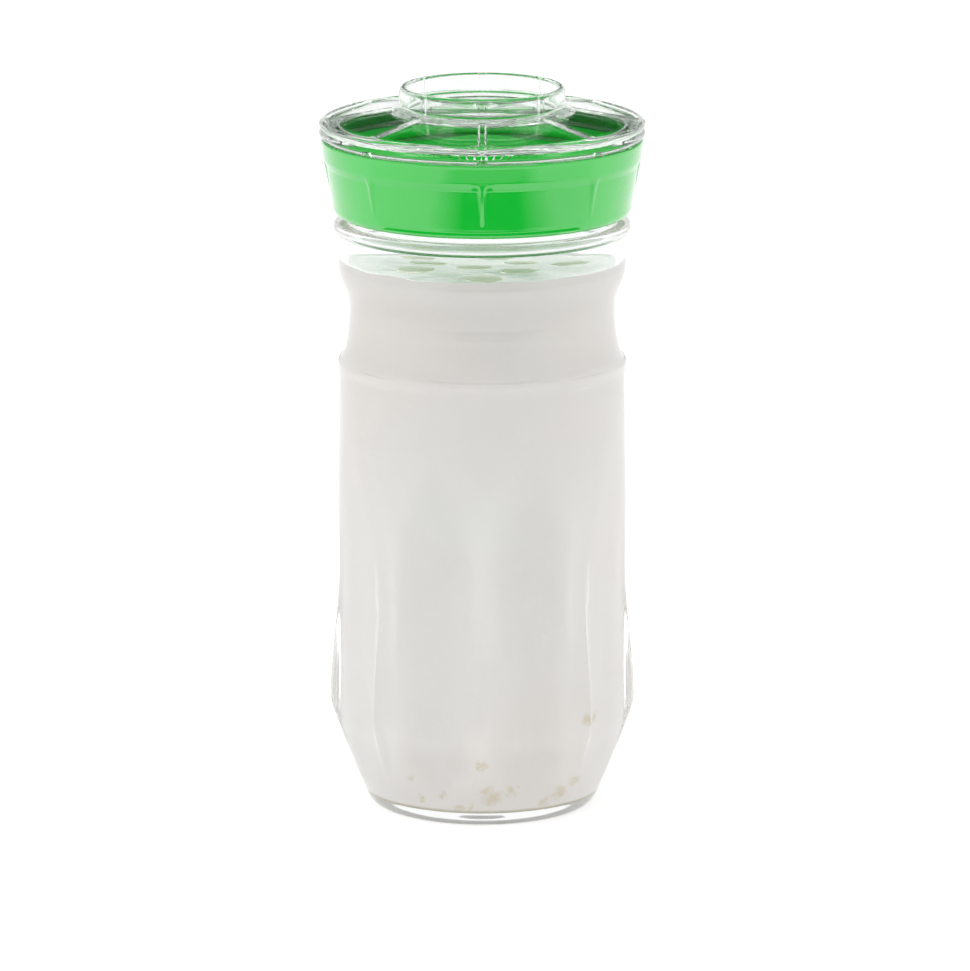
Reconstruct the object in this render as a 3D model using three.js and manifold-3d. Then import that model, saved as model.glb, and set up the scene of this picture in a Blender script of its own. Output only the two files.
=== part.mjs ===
// Kefir fermentation jar: a faceted glass jar under a screw collar, with a slotted strainer clamped
// below the collar and a clear lid that drops into its top and turns to open small vents.
// Millimetres, +Z up. The origin is on the axis, on the surface that the jar stands on.
// A half section is a list of points (radius, height) that is turned about +Z.

import * as THREE from "three";
import { mergeVertices } from "three/addons/utils/BufferGeometryUtils.js";
import Module from "manifold-3d";

const wasm = await Module();
wasm.setup();

// Pattern that the jar, the collar and the lid share
const SIDES = 8;

// Glass jar, from the base upwards; a length is measured along the axis
const BEARING_RADIUS = 31.5;
const BEARING_WIDTH = 5;
const PUSH_UP = 2.5;
const FOOT_SPREAD = 3.35;
const FOOT_LENGTH = 4.1;
const HEEL_LENGTH = 20.6;
const KNEE_RADIUS = 43.6;
const BODY_LENGTH = 105.5;
const BODY_TOP_RADIUS = 41.9;
const RIDGE_HEIGHT = 0.4;
const RIDGE_LENGTH = 3.4;
const FLARE_LENGTH = 15;
const WAIST_DEPTH = 3.15;
const WAIST_LENGTH = 14;
const NECK_STEP = 2.5;
const NECK_LENGTH = 8.2;
const BEAD_HEIGHT = 1.3;
const BEAD_LENGTH = 3.8;
const FINISH_RADIUS = 39.6;
const FINISH_LENGTH = 14.2;
const FINISH_WALL = 3.6;
const RIM_ROUNDING = 0.9;
const GLASS_WALL = 2.8;
const GLASS_FLOOR = 4;
const FLOOR_CORNER = 5;
const BORE_TAPER = 5;

// Flats of the jar's lower body, and the fin that stands on the edge between two flats
const FLATS_LENGTH = 91;
const FLATS_MEET_LENGTH = 45.3;
const FIN_HEIGHT = 2.2;
const FIN_HEEL_HEIGHT = 0.5;
const FIN_HALF_WIDTH = 2.3;
const FIN_PEAK_LENGTH = 7;
const FIN_END_LENGTH = 2;

// Kefir and the grains that float in it
const HEADSPACE = 25.8;
const GRAIN_COUNT = 9;
const GRAIN_GAP = 1;
const GRAIN_LUMPS = 0.16;
const GRAIN_LUMP_WAVES = 3;
const GRAIN_FLATNESS = 0.5;

// Clearances between pieces
const SEAT_GAP = 0.3;
const THREAD_ROOM = 1.8;
const SEAL_GAP = 0.5;
const SKIRT_GAP = 0.9;

// Strainer, whose flange sits on the inner half of the jar's rim
const FLANGE_THICKNESS = 1.5;
const FLANGE_SEAT = 1.9;
const STRAINER_WALL = 1.6;
const STRAINER_RISE = 6.5;
const CROWN_RADIUS = 11.5;
const CROWN_RISE = 1;
const DOME_GAP = 0.8;
const SLOT_WIDTH = 0.75;
const SLOT_BAR = 0.5;
const SLOT_MARGIN = 1.5;

// Silicone seal under the collar's web, which covers the strainer's flange and steps down to the glass
const SEAL_THICKNESS = 1.3;
const SEAL_OVERLAP = 0.4;

// Screw collar
const COLLAR_WALL = 2.4;
const COLLAR_FOOT_GAP = 2.3;
const COLLAR_FOOT_ROUNDING = 2.8;
const COLLAR_LEAD_IN = 0.8;
const COLLAR_WEB = 1.8;
const COLLAR_MOUTH_STEP = 2;
const COLLAR_FLARE = 3.3;
const COLLAR_RIM_WALL = 2;
const COLLAR_EDGE = 0.4;
const RECESS_DEPTH = 4.6;
const BAND_LENGTH = 5.6;
const BAND_FLARE = 0.8;
const BAND_STEP = 0.9;
const BAND_STEP_LENGTH = 1.4;
const COLLAR_RIB_HEIGHT = 0.8;
const COLLAR_RIB_HALF_WIDTH = 1.5;

// Clear lid
const LID_OVERHANG = 0.5;
const LID_FLATTENING = 0.5;
const LID_RIM_LENGTH = 5.2;
const LID_RIM_WIDTH = 2.6;
const LID_RIM_EDGE = 0.7;
const LID_WALL = 2.2;
const LID_RIB_HEIGHT = 0.5;
const LID_RIB_HALF_WIDTH = 1.2;
const PANEL_RISE = 3;
const PANEL_DROP = 0.3;
const PANEL_SAG = 1.3;
const PANEL_RING_SAG = 0.4;
const SKIRT_FOOT_GAP = 0.4;
const SKIRT_WALL = 2;
const RING_RADIUS = 24.7;
const RING_WALL = 2.4;
const RING_LENGTH = 6.7;
const RING_FLARE = 1.5;
const RING_EDGE = 0.6;
const STAR_RADIUS = 14;
const STAR_INNER_RADIUS = 8.4;
const STAR_DEPTH = 3;
const STAR_SHOULDER_DEPTH = 1.8;

// Silicone ring in the lid's skirt
const LID_SEAL_LENGTH = 2;
const GROOVE_DEPTH = 0.8;

// Vents: a notch in the lid's rim meets a groove in the collar's rim when the lid is turned half a side
const VENT_WIDTH = 3;
const VENT_DEPTH = 1.2;
const VENT_OVERLAP = 0.6;

// Heights that follow from the lengths above
const KNEE = FOOT_LENGTH + HEEL_LENGTH;
const RIDGE_FOOT = KNEE + BODY_LENGTH;
const RIDGE_TOP = RIDGE_FOOT + RIDGE_LENGTH;
const WAIST = RIDGE_TOP + FLARE_LENGTH;
const NECK_FOOT = WAIST + WAIST_LENGTH;
const BEAD_FOOT = NECK_FOOT + NECK_LENGTH;
const BEAD_TOP = BEAD_FOOT + BEAD_LENGTH;
const JAR_RIM = BEAD_TOP + FINISH_LENGTH;
const FLANGE_FOOT = JAR_RIM + SEAT_GAP;
const FLANGE_TOP = FLANGE_FOOT + FLANGE_THICKNESS;
const SEAL_TOP = FLANGE_TOP + SEAT_GAP + SEAL_THICKNESS;
const WEB_FOOT = SEAL_TOP + SEAT_GAP;
const DECK = WEB_FOOT + COLLAR_WEB;
const COLLAR_FOOT = BEAD_TOP + COLLAR_FOOT_GAP;
const COLLAR_TOP = DECK + RECESS_DEPTH;
const BAND_FOOT = COLLAR_TOP - BAND_LENGTH;
const LID_FOOT = COLLAR_TOP + SEAT_GAP;
const LID_RIM = LID_FOOT + LID_RIM_LENGTH;
const RING_FOOT = LID_RIM + PANEL_RISE;
const RING_TOP = RING_FOOT + RING_LENGTH;
const SKIRT_FOOT = DECK + SKIRT_FOOT_GAP;
const GROOVE_MIDDLE = (SKIRT_FOOT + LID_FOOT) / 2;
const KEFIR_TOP = JAR_RIM - HEADSPACE;

// Radii that follow from one another or from a fit
const FOOT_RADIUS = BEARING_RADIUS + FOOT_SPREAD;
const RIDGE_RADIUS = BODY_TOP_RADIUS + RIDGE_HEIGHT;
const NECK_RADIUS = FINISH_RADIUS + NECK_STEP;
const WAIST_RADIUS = NECK_RADIUS - WAIST_DEPTH;
const JAR_BORE = FINISH_RADIUS - FINISH_WALL;
const FLANGE_RADIUS = JAR_BORE + FLANGE_SEAT;
const COLLAR_MOUTH_RADIUS = JAR_BORE - COLLAR_MOUTH_STEP;
const COLLAR_BORE = FINISH_RADIUS + THREAD_ROOM;
const COLLAR_FOOT_RADIUS = COLLAR_BORE + COLLAR_WALL;
const COLLAR_TOP_RADIUS = COLLAR_FOOT_RADIUS + COLLAR_FLARE;
const BAND_FOOT_RADIUS = COLLAR_TOP_RADIUS - BAND_FLARE;
const RECESS_RADIUS = COLLAR_TOP_RADIUS - COLLAR_RIM_WALL;
const LID_RADIUS = COLLAR_TOP_RADIUS + LID_OVERHANG;
const SKIRT_RADIUS = RECESS_RADIUS - SKIRT_GAP;
const PANEL_RADIUS = LID_RADIUS - LID_RIM_WIDTH;
const RING_FOOT_RADIUS = RING_RADIUS + RING_FLARE;

const { lerp, smoothstep } = THREE.MathUtils;
const SIDE_ANGLE = (2 * Math.PI) / SIDES;

// Meridians of a piece with a rib on each edge, as shares of one side: its edge, the rib's foot, its
// quarter and its middle.
function ribbedShares(halfWidth, radius) {
  const foot = halfWidth / (radius * SIDE_ANGLE);
  const quarter = (foot + 0.5) / 2;
  return [0, foot, quarter, 0.5, 1 - quarter, 1 - foot];
}

const JAR_SHARES = ribbedShares(FIN_HALF_WIDTH, KNEE_RADIUS);
const COLLAR_SHARES = ribbedShares(COLLAR_RIB_HALF_WIDTH, COLLAR_TOP_RADIUS);
const PLAIN_SHARES = [0, 1 / 3, 2 / 3];

// Angle from the middle of the side that a meridian lies in, half a side at most.
function offMiddle(angle) {
  return THREE.MathUtils.euclideanModulo(angle, SIDE_ANGLE) - SIDE_ANGLE / 2;
}

// 1 on the edge between two sides, falling to 0 at a distance along the round.
function edgeShare(angle, radius, halfWidth) {
  const distance = (SIDE_ANGLE / 2 - Math.abs(offMiddle(angle))) * radius;
  return Math.max(0, 1 - distance / halfWidth);
}

// A point of a half section. `form` may move it on each meridian.
function at(radius, height, form) {
  return Object.assign(new THREE.Vector2(radius, height), { form });
}

function straight(from, to, steps, form) {
  return Array.from({ length: steps + 1 }, (_, i) =>
    at(lerp(from.x, to.x, i / steps), lerp(from.y, to.y, i / steps), form),
  );
}

function bend(from, corner, to, steps, form) {
  const curve = new THREE.QuadraticBezierCurve(from, corner, to);
  return curve.getPoints(steps).map((p) => at(p.x, p.y, form));
}

function swell(from, out, back, to, steps, form) {
  const curve = new THREE.CubicBezierCurve(from, out, back, to);
  return curve.getPoints(steps).map((p) => at(p.x, p.y, form));
}

// Leaves out a point that repeats the one before it, where two stretches meet.
function joined(...stretches) {
  const points = stretches.flat();
  return points.filter((p, i) => i === 0 || p.distanceTo(points[i - 1]) > 1e-6);
}

// Turns a half section about +Z. The section runs up the outside and down the inside.
function turned(section, shares = JAR_SHARES) {
  const meridians = SIDES * shares.length;
  const geometry = new THREE.LatheGeometry(section, meridians);
  const position = geometry.getAttribute("position");
  for (let k = 0; k < position.count; k++) {
    const meridian = Math.floor(k / section.length) % meridians;
    const angle = (Math.floor(meridian / shares.length) + shares[meridian % shares.length]) * SIDE_ANGLE;
    const plain = section[k % section.length];
    const { x: radius, y: height } = plain.form ? plain.form(plain, angle) : plain;
    position.setXYZ(k, radius * Math.cos(angle), radius * Math.sin(angle), height);
  }
  return geometry;
}

function ring(section, shares) {
  return turned([...section, section[0]], shares);
}

function solidOf(geometry) {
  const bare = new THREE.BufferGeometry()
    .setAttribute("position", geometry.getAttribute("position"))
    .setIndex(geometry.getIndex());
  const merged = mergeVertices(bare, 1e-4);
  const vertProperties = merged.getAttribute("position").array;
  const triVerts = new Uint32Array(merged.getIndex().array);
  return new wasm.Manifold(new wasm.Mesh({ numProp: 3, vertProperties, triVerts }));
}

function geometryOf(solid) {
  const { vertProperties, triVerts } = solid.getMesh();
  return new THREE.BufferGeometry()
    .setAttribute("position", new THREE.BufferAttribute(vertProperties, 3))
    .setIndex(new THREE.BufferAttribute(triVerts, 1));
}

function cut(geometry, tools) {
  return geometryOf(tools.reduce((left, tool) => left.subtract(solidOf(tool)), solidOf(geometry)));
}

// A block across the radius, from one radius to another, standing on a meridian.
function radialBlock(inner, outer, foot, top, width, angle) {
  return new THREE.BoxGeometry(outer - inner, width, top - foot)
    .translate((inner + outer) / 2, 0, (foot + top) / 2)
    .rotateZ(angle);
}

// Glass jar

// 0 where the body is round, 1 where the flats meet edge to edge.
function flatShare(height) {
  const roundAbove = smoothstep(height, KNEE + FLATS_MEET_LENGTH, KNEE + FLATS_LENGTH);
  return (1 - roundAbove) * smoothstep(height, FOOT_LENGTH, KNEE);
}

// The fin grows downwards to its peak above the knee, drops at the knee and runs out on the heel.
function finHeight(height) {
  const peak = KNEE + FIN_PEAK_LENGTH;
  if (height > peak) {
    return FIN_HEIGHT * (1 - smoothstep(height, peak, KNEE + FLATS_MEET_LENGTH));
  }
  const onHeel = FIN_HEEL_HEIGHT * smoothstep(height, FOOT_LENGTH, KNEE);
  return onHeel + (FIN_HEIGHT - FIN_HEEL_HEIGHT) * smoothstep(height, KNEE - FIN_END_LENGTH, peak);
}

function flatted({ x, y }, angle) {
  const flat = x * (1 - flatShare(y) * (1 - Math.cos(SIDE_ANGLE / 2)));
  const wall = Math.min(x, flat / Math.cos(offMiddle(angle)));
  return { x: wall + finHeight(y) * edgeShare(angle, x, FIN_HALF_WIDTH), y };
}

function jarOutside() {
  const foot = at(FOOT_RADIUS, FOOT_LENGTH);
  const knee = at(KNEE_RADIUS, KNEE);
  const bodyTop = at(BODY_TOP_RADIUS, RIDGE_FOOT);
  const flare = at(RIDGE_RADIUS, RIDGE_TOP);
  const waist = at(WAIST_RADIUS, WAIST);
  const neck = at(NECK_RADIUS, NECK_FOOT);
  const bead = at(NECK_RADIUS, BEAD_FOOT);
  const shelf = at(NECK_RADIUS, BEAD_TOP);
  const flareMiddle = WAIST - FLARE_LENGTH / 2;
  const waistMiddle = WAIST + WAIST_LENGTH / 2;
  const beadPull = NECK_RADIUS + (4 / 3) * BEAD_HEIGHT;
  return joined(
    [at(0, PUSH_UP), at(BEARING_RADIUS - BEARING_WIDTH, 0)],
    bend(at(BEARING_RADIUS, 0), at(BEARING_RADIUS + FOOT_SPREAD / 2, 0), foot, 2),
    straight(foot, knee, 3, flatted),
    straight(knee, bodyTop, 10, flatted),
    bend(bodyTop, at(RIDGE_RADIUS, RIDGE_FOOT), at(RIDGE_RADIUS, RIDGE_FOOT + RIDGE_LENGTH / 2), 2),
    swell(flare, at(RIDGE_RADIUS - WAIST_DEPTH / 3, RIDGE_TOP), at(waist.x, flareMiddle), waist, 4),
    swell(waist, at(waist.x, waistMiddle), at(neck.x, waistMiddle), neck, 5),
    swell(bead, at(beadPull, BEAD_FOOT), at(beadPull, BEAD_TOP), shelf, 4),
    [at(FINISH_RADIUS, BEAD_TOP)],
    [at(FINISH_RADIUS, JAR_RIM - RIM_ROUNDING), at(FINISH_RADIUS - RIM_ROUNDING, JAR_RIM)],
  );
}

function bodyRadius(aboveKnee) {
  return lerp(KNEE_RADIUS, BODY_TOP_RADIUS, aboveKnee / BODY_LENGTH);
}

// Half section of the space inside the glass, from the floor's middle up to a height, drawn in by a gap.
// It is round, and narrow enough for the wall behind the middle of each flat.
function cavity(gap, top) {
  const wall = GLASS_WALL + gap;
  const floor = GLASS_FLOOR + gap;
  const corner = FOOT_RADIUS - wall;
  const flatness = Math.cos(SIDE_ANGLE / 2);
  const knee = at(KNEE_RADIUS * flatness - wall, KNEE + GLASS_WALL);
  const meet = at(bodyRadius(FLATS_MEET_LENGTH) * flatness - wall, KNEE + FLATS_MEET_LENGTH);
  const round = at(bodyRadius(FLATS_LENGTH) - wall, KNEE + FLATS_LENGTH);
  const flare = at(BODY_TOP_RADIUS - wall, RIDGE_TOP);
  const waist = at(WAIST_RADIUS - wall, WAIST);
  const neck = at(NECK_RADIUS - wall, NECK_FOOT);
  const taper = at(neck.x, BEAD_TOP - BORE_TAPER);
  const bore = at(JAR_BORE - gap, BEAD_TOP);
  const flareMiddle = WAIST - FLARE_LENGTH / 2;
  const waistMiddle = WAIST + WAIST_LENGTH / 2;
  const points = joined(
    [at(0, floor + PUSH_UP / 2)],
    bend(at(corner - FLOOR_CORNER, floor), at(corner, floor), knee, 4),
    [meet, round],
    swell(flare, at(flare.x - WAIST_DEPTH / 3, RIDGE_TOP), at(waist.x, flareMiddle), waist, 3),
    swell(waist, at(waist.x, waistMiddle), at(neck.x, waistMiddle), neck, 4),
    bend(taper, at(neck.x, BEAD_TOP - BORE_TAPER / 2), bore, 2),
  );
  return points.filter((p) => p.y < top);
}

function glassJar() {
  const rim = [at(JAR_BORE + RIM_ROUNDING, JAR_RIM), at(JAR_BORE, JAR_RIM - RIM_ROUNDING)];
  return turned([...jarOutside(), ...rim, ...cavity(0, JAR_RIM).reverse()]);
}

// Contents

// Grains lie on a spiral that fills the kefir's surface evenly, the last one against the front wall.
// The place of a grain is given on a disc of radius 1.
function grainPlace(index) {
  const goldenAngle = Math.PI * (3 - Math.sqrt(5));
  const angle = (index - GRAIN_COUNT + 1) * goldenAngle - Math.PI / 2;
  const radius = Math.sqrt((index + 0.5) / GRAIN_COUNT);
  return new THREE.Vector2(radius * Math.cos(angle), radius * Math.sin(angle));
}

function leastSpacing() {
  const places = Array.from({ length: GRAIN_COUNT }, (_, i) => grainPlace(i));
  return Math.min(...places.flatMap((a, i) => places.slice(0, i).map((b) => a.distanceTo(b))));
}

// The disc and the grains are as large as the neck lets them be with a gap between neighbours.
const GRAIN_ROOM = NECK_RADIUS - GLASS_WALL - GRAIN_GAP;
const GRAIN_DISC = (GRAIN_ROOM + GRAIN_GAP / 2) / (1 + leastSpacing() / 2);
const GRAIN_RADIUS = (GRAIN_DISC * leastSpacing() - GRAIN_GAP) / 2;

// A grain is a lumpy, flattened ball.
function grain(index, swollenBy) {
  const place = grainPlace(index).multiplyScalar(GRAIN_DISC);
  const geometry = new THREE.IcosahedronGeometry(1, 1);
  const position = geometry.getAttribute("position");
  const p = new THREE.Vector3();
  for (let k = 0; k < position.count; k++) {
    p.fromBufferAttribute(position, k);
    const wave = Math.sin(GRAIN_LUMP_WAVES * p.x + index) * Math.cos(GRAIN_LUMP_WAVES * p.y - index);
    const size = (GRAIN_RADIUS * (1 + GRAIN_LUMPS * wave)) / (1 + GRAIN_LUMPS) + swollenBy;
    position.setXYZ(k, p.x * size, p.y * size, p.z * size * GRAIN_FLATNESS);
  }
  return geometry.translate(place.x, place.y, KEFIR_TOP);
}

function kefirFill() {
  const side = cavity(SEAT_GAP, KEFIR_TOP);
  const surface = [at(side.at(-1).x, KEFIR_TOP), at(0, KEFIR_TOP)];
  const grains = Array.from({ length: GRAIN_COUNT }, (_, i) => grain(i, SEAT_GAP));
  return cut(turned([...side, ...surface], PLAIN_SHARES), grains);
}

// Closure, from the jar's rim upwards

function strainer() {
  const domeFoot = at(COLLAR_MOUTH_RADIUS - DOME_GAP, FLANGE_TOP);
  const crown = at(CROWN_RADIUS, FLANGE_TOP + STRAINER_RISE - CROWN_RISE);
  const section = [
    at(0, crown.y + CROWN_RISE - STRAINER_WALL),
    at(CROWN_RADIUS, crown.y - STRAINER_WALL),
    at(domeFoot.x - STRAINER_WALL, FLANGE_FOOT),
    at(FLANGE_RADIUS, FLANGE_FOOT),
    at(FLANGE_RADIUS, FLANGE_TOP),
    domeFoot,
    crown,
    at(0, crown.y + CROWN_RISE),
  ];
  const slotInner = CROWN_RADIUS + SLOT_MARGIN;
  const slotCount = Math.floor((2 * Math.PI * slotInner) / (SLOT_WIDTH + SLOT_BAR));
  const slots = Array.from({ length: slotCount }, (_, i) =>
    radialBlock(
      slotInner,
      domeFoot.x - STRAINER_WALL - SLOT_MARGIN,
      FLANGE_FOOT,
      crown.y + CROWN_RISE,
      SLOT_WIDTH,
      ((i + 0.5) * 2 * Math.PI) / slotCount,
    ),
  );
  return cut(turned(section), slots);
}

function collarSeal() {
  const inner = JAR_BORE - SEAL_OVERLAP;
  const step = FLANGE_RADIUS + SEAT_GAP;
  const outer = COLLAR_BORE - SEAL_GAP;
  return ring([
    at(step, JAR_RIM + SEAT_GAP),
    at(outer, JAR_RIM + SEAT_GAP),
    at(outer, SEAL_TOP),
    at(inner, SEAL_TOP),
    at(inner, FLANGE_TOP + SEAT_GAP),
    at(step, FLANGE_TOP + SEAT_GAP),
  ]);
}

// The collar's panels lie behind its band; a rib between two panels keeps the band's line and runs
// out towards the foot.
function collarRibbed({ x, y }, angle) {
  const share = (y - COLLAR_FOOT) / (BAND_FOOT - COLLAR_FOOT);
  return { x: x + COLLAR_RIB_HEIGHT * share * edgeShare(angle, x, COLLAR_RIB_HALF_WIDTH), y };
}

function collarOutside() {
  const foot = at(COLLAR_BORE + COLLAR_LEAD_IN, COLLAR_FOOT);
  const corner = at(COLLAR_FOOT_RADIUS, COLLAR_FOOT);
  const panelFoot = at(COLLAR_FOOT_RADIUS, COLLAR_FOOT + COLLAR_FOOT_ROUNDING);
  const panelTop = at(BAND_FOOT_RADIUS - BAND_STEP, BAND_FOOT - BAND_STEP_LENGTH);
  return joined(
    bend(foot, corner, panelFoot, 3),
    straight(panelFoot, panelTop, 2, collarRibbed),
    [at(BAND_FOOT_RADIUS, BAND_FOOT), at(COLLAR_TOP_RADIUS, COLLAR_TOP - COLLAR_EDGE)],
    [at(COLLAR_TOP_RADIUS - COLLAR_EDGE, COLLAR_TOP)],
  );
}

function screwCollar() {
  const section = [
    at(COLLAR_BORE, COLLAR_FOOT + COLLAR_LEAD_IN),
    ...collarOutside(),
    at(RECESS_RADIUS, COLLAR_TOP),
    at(RECESS_RADIUS, DECK),
    at(COLLAR_MOUTH_RADIUS, DECK),
    at(COLLAR_MOUTH_RADIUS, WEB_FOOT),
    at(COLLAR_BORE, WEB_FOOT),
  ];
  const ventOuter = (RECESS_RADIUS + COLLAR_TOP_RADIUS + VENT_OVERLAP) / 2;
  const grooves = Array.from({ length: SIDES }, (_, i) =>
    radialBlock(
      RECESS_RADIUS - SKIRT_GAP,
      ventOuter,
      COLLAR_TOP - VENT_DEPTH,
      COLLAR_TOP + VENT_DEPTH,
      VENT_WIDTH,
      (i + 0.5) * SIDE_ANGLE,
    ),
  );
  return cut(ring(section, COLLAR_SHARES), grooves);
}

function lidSeal() {
  const inner = SKIRT_RADIUS - GROOVE_DEPTH + SEAT_GAP;
  const outer = RECESS_RADIUS - SEAT_GAP;
  const foot = GROOVE_MIDDLE - LID_SEAL_LENGTH / 2;
  const top = GROOVE_MIDDLE + LID_SEAL_LENGTH / 2;
  return ring([at(inner, foot), at(outer, foot), at(outer, top), at(inner, top)]);
}

// Each panel of the lid hangs flat between two ridges, deepest at the rim.
function sagging({ x, y }, angle) {
  const across = (Math.cos(offMiddle(angle)) - Math.cos(SIDE_ANGLE / 2)) / (1 - Math.cos(SIDE_ANGLE / 2));
  const along = (x - RING_FOOT_RADIUS) / (PANEL_RADIUS - RING_FOOT_RADIUS);
  return { x, y: y - across * lerp(PANEL_RING_SAG, PANEL_SAG, along) };
}

// On top, a rib runs along each ridge and up the ring's wall.
function panelled(plain, angle) {
  const { x, y } = sagging(plain, angle);
  return { x, y: y + LID_RIB_HEIGHT * edgeShare(angle, x, LID_RIB_HALF_WIDTH) };
}

function ringRibbed({ x, y }, angle) {
  return { x: x + LID_RIB_HEIGHT * edgeShare(angle, x, LID_RIB_HALF_WIDTH), y };
}

// The lid's rim bows a little flatter than round between its corners.
function cornered({ x, y }, angle) {
  const bow = 1 - (offMiddle(angle) / (SIDE_ANGLE / 2)) ** 2;
  return { x: x - LID_FLATTENING * bow, y };
}

// Ribs of the star under the lid's middle stand on the ridges.
function starred({ x, y }, angle) {
  const ridge = Math.abs(offMiddle(angle)) / (SIDE_ANGLE / 2);
  return { x: x * lerp(STAR_INNER_RADIUS / STAR_RADIUS, 1, ridge), y };
}

function panelHeight(radius) {
  const along = (radius - RING_FOOT_RADIUS) / (PANEL_RADIUS - RING_FOOT_RADIUS);
  return lerp(RING_FOOT, LID_RIM - PANEL_DROP, along);
}

function lidUnderside() {
  const skirtTop = at(SKIRT_RADIUS - SKIRT_WALL, panelHeight(SKIRT_RADIUS - SKIRT_WALL) - LID_WALL);
  const ceiling = RING_FOOT - LID_WALL;
  const groove = SKIRT_RADIUS - GROOVE_DEPTH;
  const grooveFoot = GROOVE_MIDDLE - LID_SEAL_LENGTH / 2 - SEAT_GAP;
  const grooveTop = GROOVE_MIDDLE + LID_SEAL_LENGTH / 2 + SEAT_GAP;
  return [
    at(0, ceiling - STAR_DEPTH),
    at(STAR_RADIUS / 2, ceiling - STAR_SHOULDER_DEPTH, starred),
    at(STAR_RADIUS, ceiling, starred),
    ...straight(at(RING_FOOT_RADIUS, ceiling), skirtTop, 2, sagging),
    at(skirtTop.x, SKIRT_FOOT),
    at(SKIRT_RADIUS, SKIRT_FOOT),
    at(SKIRT_RADIUS, grooveFoot),
    at(groove, grooveFoot),
    at(groove, grooveTop),
    at(SKIRT_RADIUS, grooveTop),
    at(SKIRT_RADIUS, LID_FOOT),
  ];
}

function lidTop() {
  const ringInner = RING_RADIUS - RING_WALL;
  const panelFoot = at(PANEL_RADIUS, panelHeight(PANEL_RADIUS));
  const panelTop = at(RING_FOOT_RADIUS + RING_FLARE, panelHeight(RING_FOOT_RADIUS + RING_FLARE));
  const ringFoot = at(RING_RADIUS, RING_FOOT + RING_FLARE);
  return [
    at(LID_RADIUS, LID_FOOT, cornered),
    at(LID_RADIUS, LID_RIM - LID_RIM_EDGE, cornered),
    at(LID_RADIUS - LID_RIM_EDGE, LID_RIM, cornered),
    at(PANEL_RADIUS + LID_RIM_EDGE, LID_RIM),
    ...straight(panelFoot, panelTop, 2, panelled),
    ...bend(panelTop, at(RING_RADIUS, RING_FOOT), ringFoot, 2, ringRibbed).slice(1),
    at(RING_RADIUS, RING_TOP - RING_EDGE, ringRibbed),
    at(RING_RADIUS - RING_EDGE, RING_TOP),
    at(ringInner + RING_EDGE, RING_TOP),
    at(ringInner, RING_TOP - RING_EDGE),
    at(ringInner, RING_FOOT),
    at(0, RING_FOOT),
  ];
}

function clearLid() {
  const ventInner = (RECESS_RADIUS + COLLAR_TOP_RADIUS - VENT_OVERLAP) / 2;
  const notches = Array.from({ length: SIDES }, (_, i) =>
    radialBlock(
      ventInner,
      LID_RADIUS + LID_OVERHANG,
      LID_FOOT - VENT_DEPTH,
      LID_FOOT + VENT_DEPTH,
      VENT_WIDTH,
      i * SIDE_ANGLE,
    ),
  );
  return cut(turned([...lidUnderside(), ...lidTop()]), notches);
}

// Materials, as the photographed object shows them
function finish(color, roughness, opacity = 1) {
  return new THREE.MeshStandardMaterial({ color, roughness, opacity, transparent: opacity < 1 });
}

const glass = finish(0xeef3ef, 0.03, 0.3);
const clearPlastic = finish(0xf2f7f4, 0.05, 0.35);
const greenPlastic = finish(0x3cc24e, 0.3);
const silicone = finish(0xf1f1ec, 0.6);
const kefir = finish(0xeceae5, 0.4);
const culture = finish(0xf0ead6, 0.5);

function piece(name, geometry, material) {
  geometry.computeVertexNormals();
  const mesh = new THREE.Mesh(geometry, material);
  mesh.name = name;
  return mesh;
}

const jar = new THREE.Group();
jar.add(piece("glass_jar", glassJar(), glass));
jar.add(piece("kefir_fill", kefirFill(), kefir));
for (let i = 0; i < GRAIN_COUNT; i++) {
  jar.add(piece(`kefir_grain_${i + 1}`, grain(i, 0), culture));
}
jar.add(piece("strainer", strainer(), greenPlastic));
jar.add(piece("collar_seal", collarSeal(), silicone));
jar.add(piece("screw_collar", screwCollar(), greenPlastic));
jar.add(piece("lid_seal", lidSeal(), silicone));
jar.add(piece("clear_lid", clearLid(), clearPlastic));

export default jar;
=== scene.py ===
# Looks of a kefir fermentation jar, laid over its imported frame: +Z up, the photographed front to -Y.
# Half sections are written in millimetres, as (radius, height), and turned about the jar's axis.

import math

import bmesh
import bpy
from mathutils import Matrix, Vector, noise
from mathutils.geometry import interpolate_bezier


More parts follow.
